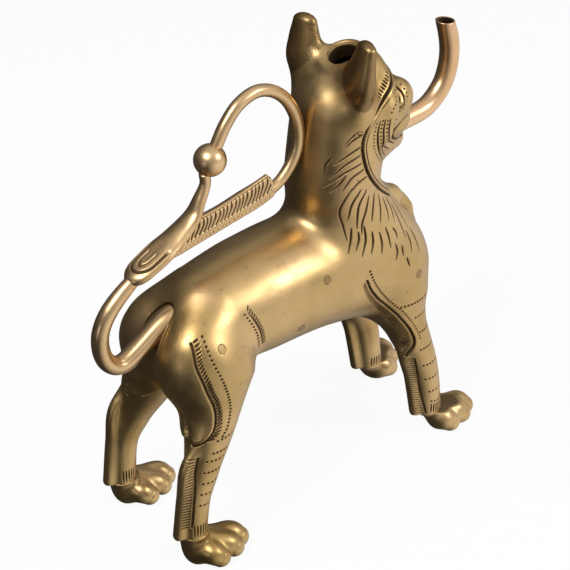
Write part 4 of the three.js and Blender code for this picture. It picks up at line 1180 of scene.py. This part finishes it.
# The tail, the handle and what hangs on it: each path is in the middle plane as (x, z)
TAIL_ROOT = (RUMP_X - RUMP_R + TAIL_ROOT_DEPTH + 1, BARREL_Z + 15.5)
TAIL_FOOT = (TAIL_ROOT[0] - 25.2, TAIL_ROOT[1] + 28.7)
NAPE_X = NECK_X - NECK_R
BALL = (NAPE_X - 60, NECK_SEAM_Z + 44.6)
BALL_WAY = np.array([10.4, 16.6]) / math.hypot(10.4, 16.6)
TAIL_PATH = [
    (3, -3, 11, 10), (-7.4, -4.6, 13, 11.5), (-25, -15.2, 12.4, 11), (-39, -21, 11, 10.4),
    (-48, -13, 10, 9.8), (-50, 2, 9.5, 9.4), (-45, 13, 9.5, 9.3), (-36, 21.5, 8.8, 8.6),
    (-22.6, 30.4, 7, 6.6),
]
BAR_PATH = [(0.3, 0.3), (8, 3.4), (35.7, 7.8), (62.8, 11.7)]
NAPE_PATH = [(-25, 10), (-11, 15.8), (-1, 28.6), (0.2, 43.2), (-6.8, 60.2), (-17.8, 70.1), (-29.3, 73.3),
             (-40.8, 69.7)]
LEAF_PATH = [(38, 21.5, 11.5, 7), (26, 13.3, 15.6, 7.5), (14, 7.4, 18.8, 8), (3, 2.4, 17.6, 7.8),
             (-6, -2.2, 10.5, 7.4)]
# The leaf's U grooves: the bend's distance from the tip, half breadth, round length, straight length,
# width and depth
LEAF_GROOVES = ((15.5, 6.9, 8.6, 12, 0.85, 0.8), (16.5, 2.9, 5.4, 6, 0.6, 0.6))


def through_ball(distance):
    return tuple(np.array(BALL) + BALL_WAY * distance)


def handle_path():
    path = [(TAIL_FOOT[0] + x, TAIL_FOOT[1] + z) for x, z in BAR_PATH]
    path += [(NAPE_X + x, NECK_SEAM_Z + z) for x, z in NAPE_PATH]
    path += [through_ball(BALL_D / 2 + 11), through_ball(BALL_D / 2 - BALL_SEAT)]
    sizes = [BAR_D] * 6 + [LOOP_D] * 8
    return np.array([(x, z, d, d) for (x, z), d in zip(path, sizes)])


def flat_curve(path, count):
    """Smooth stations along a path of (x, z, across, deep)."""
    path = np.asarray(path, float)
    return np.column_stack([curve(path[:, :2], count), curve(path[:, 2:4], count)])


def eased(stations, span):
    """The stations with their bends rounded by a running mean."""
    padded = np.pad(stations, ((span // 2, span // 2), (0, 0)), mode="edge")
    kernel = np.ones(span) / span
    return np.stack([np.convolve(column, kernel, mode="valid") for column in padded.T], axis=1)


def rounded_end(stations, reach):
    """The last few millimetres of a rod drawn in to a round end."""
    left = np.linalg.norm(stations[:, :2] - stations[-1, :2], axis=1)
    shrink = np.sqrt(np.clip(1 - np.clip(1 - left / reach, 0, 1) ** 2, 0.0004, 1))
    found = stations.copy()
    found[:, 2:] *= shrink[:, None]
    return found


def build_tail():
    path = [(TAIL_ROOT[0] + x, TAIL_ROOT[1] + z, across, deep) for x, z, across, deep in TAIL_PATH]
    stations = rounded_end(eased(flat_curve(path, 240), 25), 1.5)
    sides = 40
    points, faces = sweep(stations, sides)
    # a shallow groove runs along the lower side of the curl, its darkening painted shade along it
    angle = np.tile(2 * math.pi * np.arange(sides) / sides, len(stations))
    t = np.repeat(np.linspace(0, 1, len(stations)), sides)
    shaded_crease = np.exp(-((angle - 1.25 * math.pi) / 0.12) ** 2)
    shaded_crease *= np.clip((t - 0.12) * 12, 0, 1) * np.clip((0.93 - t) * 12, 0, 1)
    tarnish_and_shade = np.concatenate([shaded_crease * 0.6, [0, 0]])
    points = points - normals_of(points, faces) * (tarnish_and_shade * 0.5)[:, None]
    finish_piece("tail_curl", "handle_brass", points, faces, None, tarnish_and_shade)
    finish_piece("handle_loop", "handle_brass", *sweep(flat_curve(handle_path(), 260), 28))


def build_ball():
    bm = bmesh.new()
    bmesh.ops.create_icosphere(bm, subdivisions=5, radius=BALL_D / 2)
    points = np.array([v.co[:] for v in bm.verts]) + (BALL[0], 0, BALL[1])
    faces = np.array([[v.index for v in f.verts] for f in bm.faces])
    bm.free()
    finish_piece("tail_ball", "handle_brass", points, faces)


def build_tuft():
    """The leaf of the tail's tip, with grooves that follow its round end."""
    path = [
        (*through_ball(BALL_SEAT - BALL_D / 2), TUFT_NECK_D, TUFT_NECK_D),
        (BALL[0] - 3.6, BALL[1] - 12.5, TUFT_NECK_D, TUFT_NECK_D),
        (BALL[0] - 8.4, BALL[1] - 21.8, 8.2, 6.8),
    ]
    path += [(TAIL_FOOT[0] + x, TAIL_FOOT[1] + z, across, deep) for x, z, across, deep in LEAF_PATH]
    sides = 144
    stations = rounded_end(flat_curve(path, 260), 6.5)
    points, faces = sweep(stations, sides)
    lengths = lengths_along(stations[:, :2])
    left = np.repeat(lengths[-1] - lengths, sides)
    across = points[:-2, 1]
    top = np.tile(np.sin(2 * math.pi * np.arange(sides) / sides), len(stations)) < 0
    depth = np.zeros(len(left))
    for bend, half, rounding, straight, width, deep in LEAF_GROOVES:
        below = (bend - left) / rounding
        ring = np.where(below > 0, np.hypot(below, across / half), np.abs(across) / half)
        away = np.abs(ring - 1) * half
        ends = np.clip((bend + straight - left) / 4, 0, 1)
        depth = np.maximum(depth, np.clip(1 - (away / width) ** 2, 0, 1) * ends * deep * top)
    hollow = np.clip(1 - np.hypot((left - 19) / 12, across / 5.5), 0, 1) * top * 0.7
    depth, hollow = (np.concatenate([values, [0, 0]]) for values in (depth, hollow))
    points = points - normals_of(points, faces) * (depth + hollow)[:, None]
    finish_piece("tail_tuft", "handle_brass", points, faces, None, np.clip(depth * 1.5, 0, 1))


def build_fin():
    """The upright fin that wraps the handle bar, chased with wavy strokes on both faces."""
    columns, rows = 520, 44
    foot, height = BAR_D / 2 + 0.25, FIN_HEIGHT - BAR_D / 2 + 0.8
    t, up = np.linspace(0, 1, columns)[None], np.linspace(0, 1, rows)[:, None]
    start, end = TAIL_FOOT[0] + FIN_START - FIN_TUCK, NAPE_X - 19
    x = start + t * (end - start)
    bar = flat_curve(handle_path(), 260)
    bar = bar[:int(np.argmax(bar[:, 0] > NAPE_X - 2))]
    bar_z = np.interp(x, bar[:, 0], bar[:, 1])
    ends = np.sqrt(np.clip(1 - ((0.2 - t) / 0.2).clip(0, 1) ** 2, 0.02, 1))
    ends = ends * np.sqrt(np.clip(1 - ((t - 0.95) / 0.05).clip(0, 1) ** 2, 0.1, 1))
    top = bar_z + height * ends * (1 + 0.07 * np.sin(t * 2.6 * math.pi + 0.6))
    base = bar_z - foot * np.sqrt(ends)
    z = base + (top - base) * up
    level = (z - bar_z) / height
    half = np.interp(level, [-0.4, -0.32, -0.2, 0.1, 0.9, 1.0, 1.08], [0.6, 2.4, 3.3, 3.25, 1.7, 1.5, 0.7])
    cut = fin_strokes(x, up) * (up > 0.14) * (up < 0.92) * (t > 0.03) * (t < 0.975)
    border = np.clip(1 - (np.abs(up - 0.945) / 0.03) ** 2, 0, 1) * (t > 0.02) * (t < 0.98)
    cut = np.maximum(cut, 0.8 * border)
    groups = []
    for sign in (-1, 1):
        points = np.stack([x + up * 0, sign * (half - 0.55 * cut), z], 2).reshape(-1, 3)
        faces = grid_faces(rows, columns)[:, ::-sign]
        groups.append((points, faces, points * 0, np.clip(cut * 1.2, 0, 1).ravel()))
    points, faces, _, tarnish_and_shade = joined(groups)
    size = rows * columns
    n = np.arange(size).reshape(rows, columns)
    ring = np.concatenate([n[0], n[1:, -1], n[-1, -2::-1], n[-2:0:-1, 0]])
    after = np.roll(ring, -1)
    sides = [np.stack([after, ring, ring + size], 1), np.stack([after, ring + size, after + size], 1)]
    finish_piece("handle_comb", "handle_brass", points, np.concatenate([faces, *sides]), None, tarnish_and_shade)


def fin_strokes(x, up):
    """How deep the leaning, wavy strokes are at each place of the fin, from 0 to 1."""
    spacing = 2.75
    lean = x - up * 4.4 + 1.3 * np.sin(up * 2 * math.pi * 0.95 + 0.3)
    phase = lean / spacing + 0.12 * np.sin(x * 0.55)
    width = 0.3 * np.clip(np.sin(np.clip((up - 0.13) / 0.8, 0, 1) * math.pi), 0, 1) ** 0.5
    return np.clip(1 - (np.abs(phase - np.round(phase)) / np.maximum(width, 0.01)) ** 2, 0, 1)


# Filler, spout and plugs
def build_filler():
    outer, inner, half = FILLER_OD / 2, FILLER_BORE / 2, FILLER_HEIGHT / 2
    profile = spaced_profile([
        (inner, -half), (outer, -half), (outer, half - 1.2), (outer - 0.5, half - 0.5),
        (outer - 1.5, half), (outer - 2.2, half + 0.1), (outer - 2.7, half - 0.5), (outer - 3.2, half - 0.6),
        (outer - 3.7, half - 0.1), (inner + 0.6, half - 0.1), (inner + 0.1, half - 0.6), (inner, half - 1.4),
    ])
    sides = 96
    angle = 2 * math.pi * np.arange(sides) / sides
    x, y = profile[:, :1] * np.cos(angle), profile[:, :1] * np.sin(angle)
    z = np.repeat(profile[:, 1:], sides, 1)
    tilt = math.radians(FILLER_TILT)
    points = np.stack([FILLER_X + x * math.cos(tilt) - z * math.sin(tilt), y,
                       FILLER_Z + x * math.sin(tilt) + z * math.cos(tilt)], 2).reshape(-1, 3)
    faces = grid_faces(len(profile) + 1, sides, wrap=True) % len(points)
    # the bore's wall is painted dark as shade, fading out at the inner edge of the top
    tarnish_and_shade = np.repeat(np.interp(profile[:, 0], [inner, inner + 0.5, inner + 1], [0.9, 0.5, 0.0]), sides)
    finish_piece("filler_ring", "cast_brass", points, faces, None, tarnish_and_shade)


def spaced_profile(profile):
    """A closed outline with a corner at each given place and even steps between them."""
    path = np.asarray(profile + profile[:1], float)
    found = []
    for a, b in zip(path[:-1], path[1:]):
        count = max(int(np.linalg.norm(b - a) / 0.6), 1)
        found += [a + (b - a) * n / count for n in range(count)]
    return np.array(found)


def build_spout():
    """The bent tube: its outside, then its bore back down, with the mouth cut aslant."""
    path = [(0, 0), (0.36, 0), (0.69, 0.05), (0.92, 0.25), (1, 0.5), (0.99, 0.74), (0.91, 1)]
    ends = [(SPOUT_ROOT_X + out * SPOUT_REACH, SPOUT_Z + up * SPOUT_RISE, 1, 1) for out, up in path]
    steps, sides = 150, 40
    stations = flat_curve(ends, steps)
    near_mouth = np.clip(1 - np.arange(steps + 1)[::-1] / 20, 0, 1)[:, None]
    tubes = []
    for diameter in (SPOUT_OD, SPOUT_BORE):
        stations[:, 2:] = diameter
        tube = sweep(stations, sides, closed_ends=False)[0].reshape(-1, sides, 3)
        tube[..., 2] -= near_mouth * (tube[..., 0] - tube[..., 0].mean(1)[:, None]) * SPOUT_SLANT
        tubes.append(tube)
    points = np.concatenate([tubes[0], tubes[1][::-1]]).reshape(-1, 3)
    faces = grid_faces(2 * steps + 3, sides, wrap=True) % len(points)
    # the bore is painted dark as shade, the outside is left clear
    tarnish_and_shade = np.repeat([0, 0.8], (steps + 1) * sides)
    finish_piece("spout_tube", "drawn_brass", points, faces, None, tarnish_and_shade)


def build_plugs():
    rings, sides = 6, 32
    n = np.arange(sides)
    hub = np.stack([0 * n, 1 + n, 1 + (n + 1) % sides], 1)
    disc = np.concatenate([hub, 1 + grid_faces(rings, sides, wrap=True)[:, ::-1]])
    for where, place in PLUG_PLACES.items():
        places = [place]
        for ring in range(1, rings + 1):
            places += circle(place, (PLUG_D / 2 - 0.05) * ring / rings, sides)
        for side, sign in SIDES.items():
            points = flank(places, sign)
            _, rise = slope(coated, points)
            normals = rise / np.linalg.norm(rise, axis=1)[:, None]
            group = (points + normals * PLUG_RISE, disc[:, ::-sign], normals, np.zeros(len(points)))
            finish_piece(f"plug_{where}_{side}", "plug_brass", *walled(*group))


# Studio
WHITE = (1, 1, 1, 1)


def build_floor():
    """White paper: plain white to the camera but for a soft shadow, and clear in reflections."""
    mesh = bpy.data.meshes.new("floor")
    half, level = 6.0, -0.0005
    corners = [(-half, -half, level), (half, -half, level), (half, half, level), (-half, half, level)]
    mesh.from_pydata(corners, [], [(0, 1, 2, 3)])
    floor = bpy.data.objects.new("studio_floor", mesh)
    bpy.context.scene.collection.objects.link(floor)
    paper = bpy.data.materials.new("white paper")
    tree = Tree(paper)
    shader = tree.nodes["Principled BSDF"]
    tree.put(shader.inputs["Base Color"], (0.85, 0.85, 0.84, 1))
    tree.put(shader.inputs["Roughness"], 0.8)
    white = tree.node("Emission", 0, {"Color": WHITE, "Strength": 1.0})
    to_camera = tree.maths("MULTIPLY", tree.node("LightPath", "Is Camera Ray", {}), 0.93)
    seen = tree.chosen(to_camera, shader.outputs[0], white)
    clear = tree.node("BsdfTransparent", 0, {})
    surface = tree.chosen(tree.node("LightPath", "Is Glossy Ray", {}), seen, clear)
    tree.put(tree.nodes["Material Output"].inputs["Surface"], surface)
    mesh.materials.append(paper)


def build_world():
    """White to the camera. Reflections find paper and a wall, lit on the lion's near side, and a ceiling."""
    world = bpy.data.worlds.new("studio")
    bpy.context.scene.world = world
    tree = Tree(world)
    way = tree.nodes.new("ShaderNodeSeparateXYZ")
    tree.put(way.inputs[0], tree.node("TexCoord", "Generated", {}))
    up = way.outputs["Z"]
    side = tree.maths("MULTIPLY", tree.maths("SUBTRACT", way.outputs["X"], way.outputs["Y"]), 0.707)
    paper = tree.ramp(side, -0.08, 0.7, 0.05, 1.1)
    wall = tree.ramp(side, -0.35, 0.75, 0.1, 0.62)
    room = tree.maths("ADD", wall, tree.ramp(up, 0.58, 0.85, 0.0, 0.45))
    above = tree.ramp(up, -0.06, 0.1)
    below = tree.maths("SUBTRACT", 1.0, above)
    level = tree.maths("ADD", tree.maths("MULTIPLY", paper, below), tree.maths("MULTIPLY", room, above))
    around = tree.nodes["Background"]
    tree.put(around.inputs["Color"], (1, 0.985, 0.96, 1))
    tree.put(around.inputs["Strength"], level)
    seen = tree.node("Background", 0, {"Color": WHITE})
    surface = tree.chosen(tree.node("LightPath", "Is Camera Ray", {}), around.outputs[0], seen)
    tree.put(tree.nodes["World Output"].inputs["Surface"], surface)


def way_to(azimuth, elevation):
    a, e = math.radians(azimuth), math.radians(elevation)
    return Vector((math.cos(a) * math.cos(e), math.sin(a) * math.cos(e), math.sin(e)))


def placed_item(name, data, place, way):
    """A lamp or a camera that looks back along the way it was moved out."""
    item = bpy.data.objects.new(name, data)
    item.location = place
    item.rotation_euler = way.to_track_quat("Z", "Y").to_euler()
    bpy.context.scene.collection.objects.link(item)
    return item


def build_lights():
    """A soft box behind the lion, a weak low one below it, and one off its right flank."""
    middle = Vector((0, 0, 0.13))
    boxes = (
        ("key", -165, 52, 1.1, (0.34, 0.34), 7),
        ("low", -168, 3, 1.2, (0.2, 0.3), 0.5),
        ("side", -58, 34, 1.3, (0.5, 0.4), 5.5),
    )
    for name, azimuth, elevation, distance, size, watts in boxes:
        data = bpy.data.lights.new(name, "AREA")
        data.shape = "RECTANGLE"
        data.size, data.size_y = size
        data.energy = watts
        way = way_to(azimuth, elevation)
        placed_item(name, data, middle + way * distance, way)


def build_camera():
    back = way_to(AZIMUTH - 90, ELEVATION)
    target = Vector([TARGET[m] + SHIFT[m] for m in range(3)])
    data = bpy.data.cameras.new("camera")
    data.lens = LENS
    data.sensor_width = SENSOR
    data.clip_start = 0.05
    bpy.context.scene.camera = placed_item("camera", data, (target + back * DISTANCE) / 1000, back)


build_castings()
build_paws()
build_tail()
build_ball()
build_tuft()
build_fin()
build_filler()
build_spout()
build_plugs()
build_floor()
build_world()
build_lights()
build_camera()
bpy.context.scene.view_settings.view_transform = "Standard"
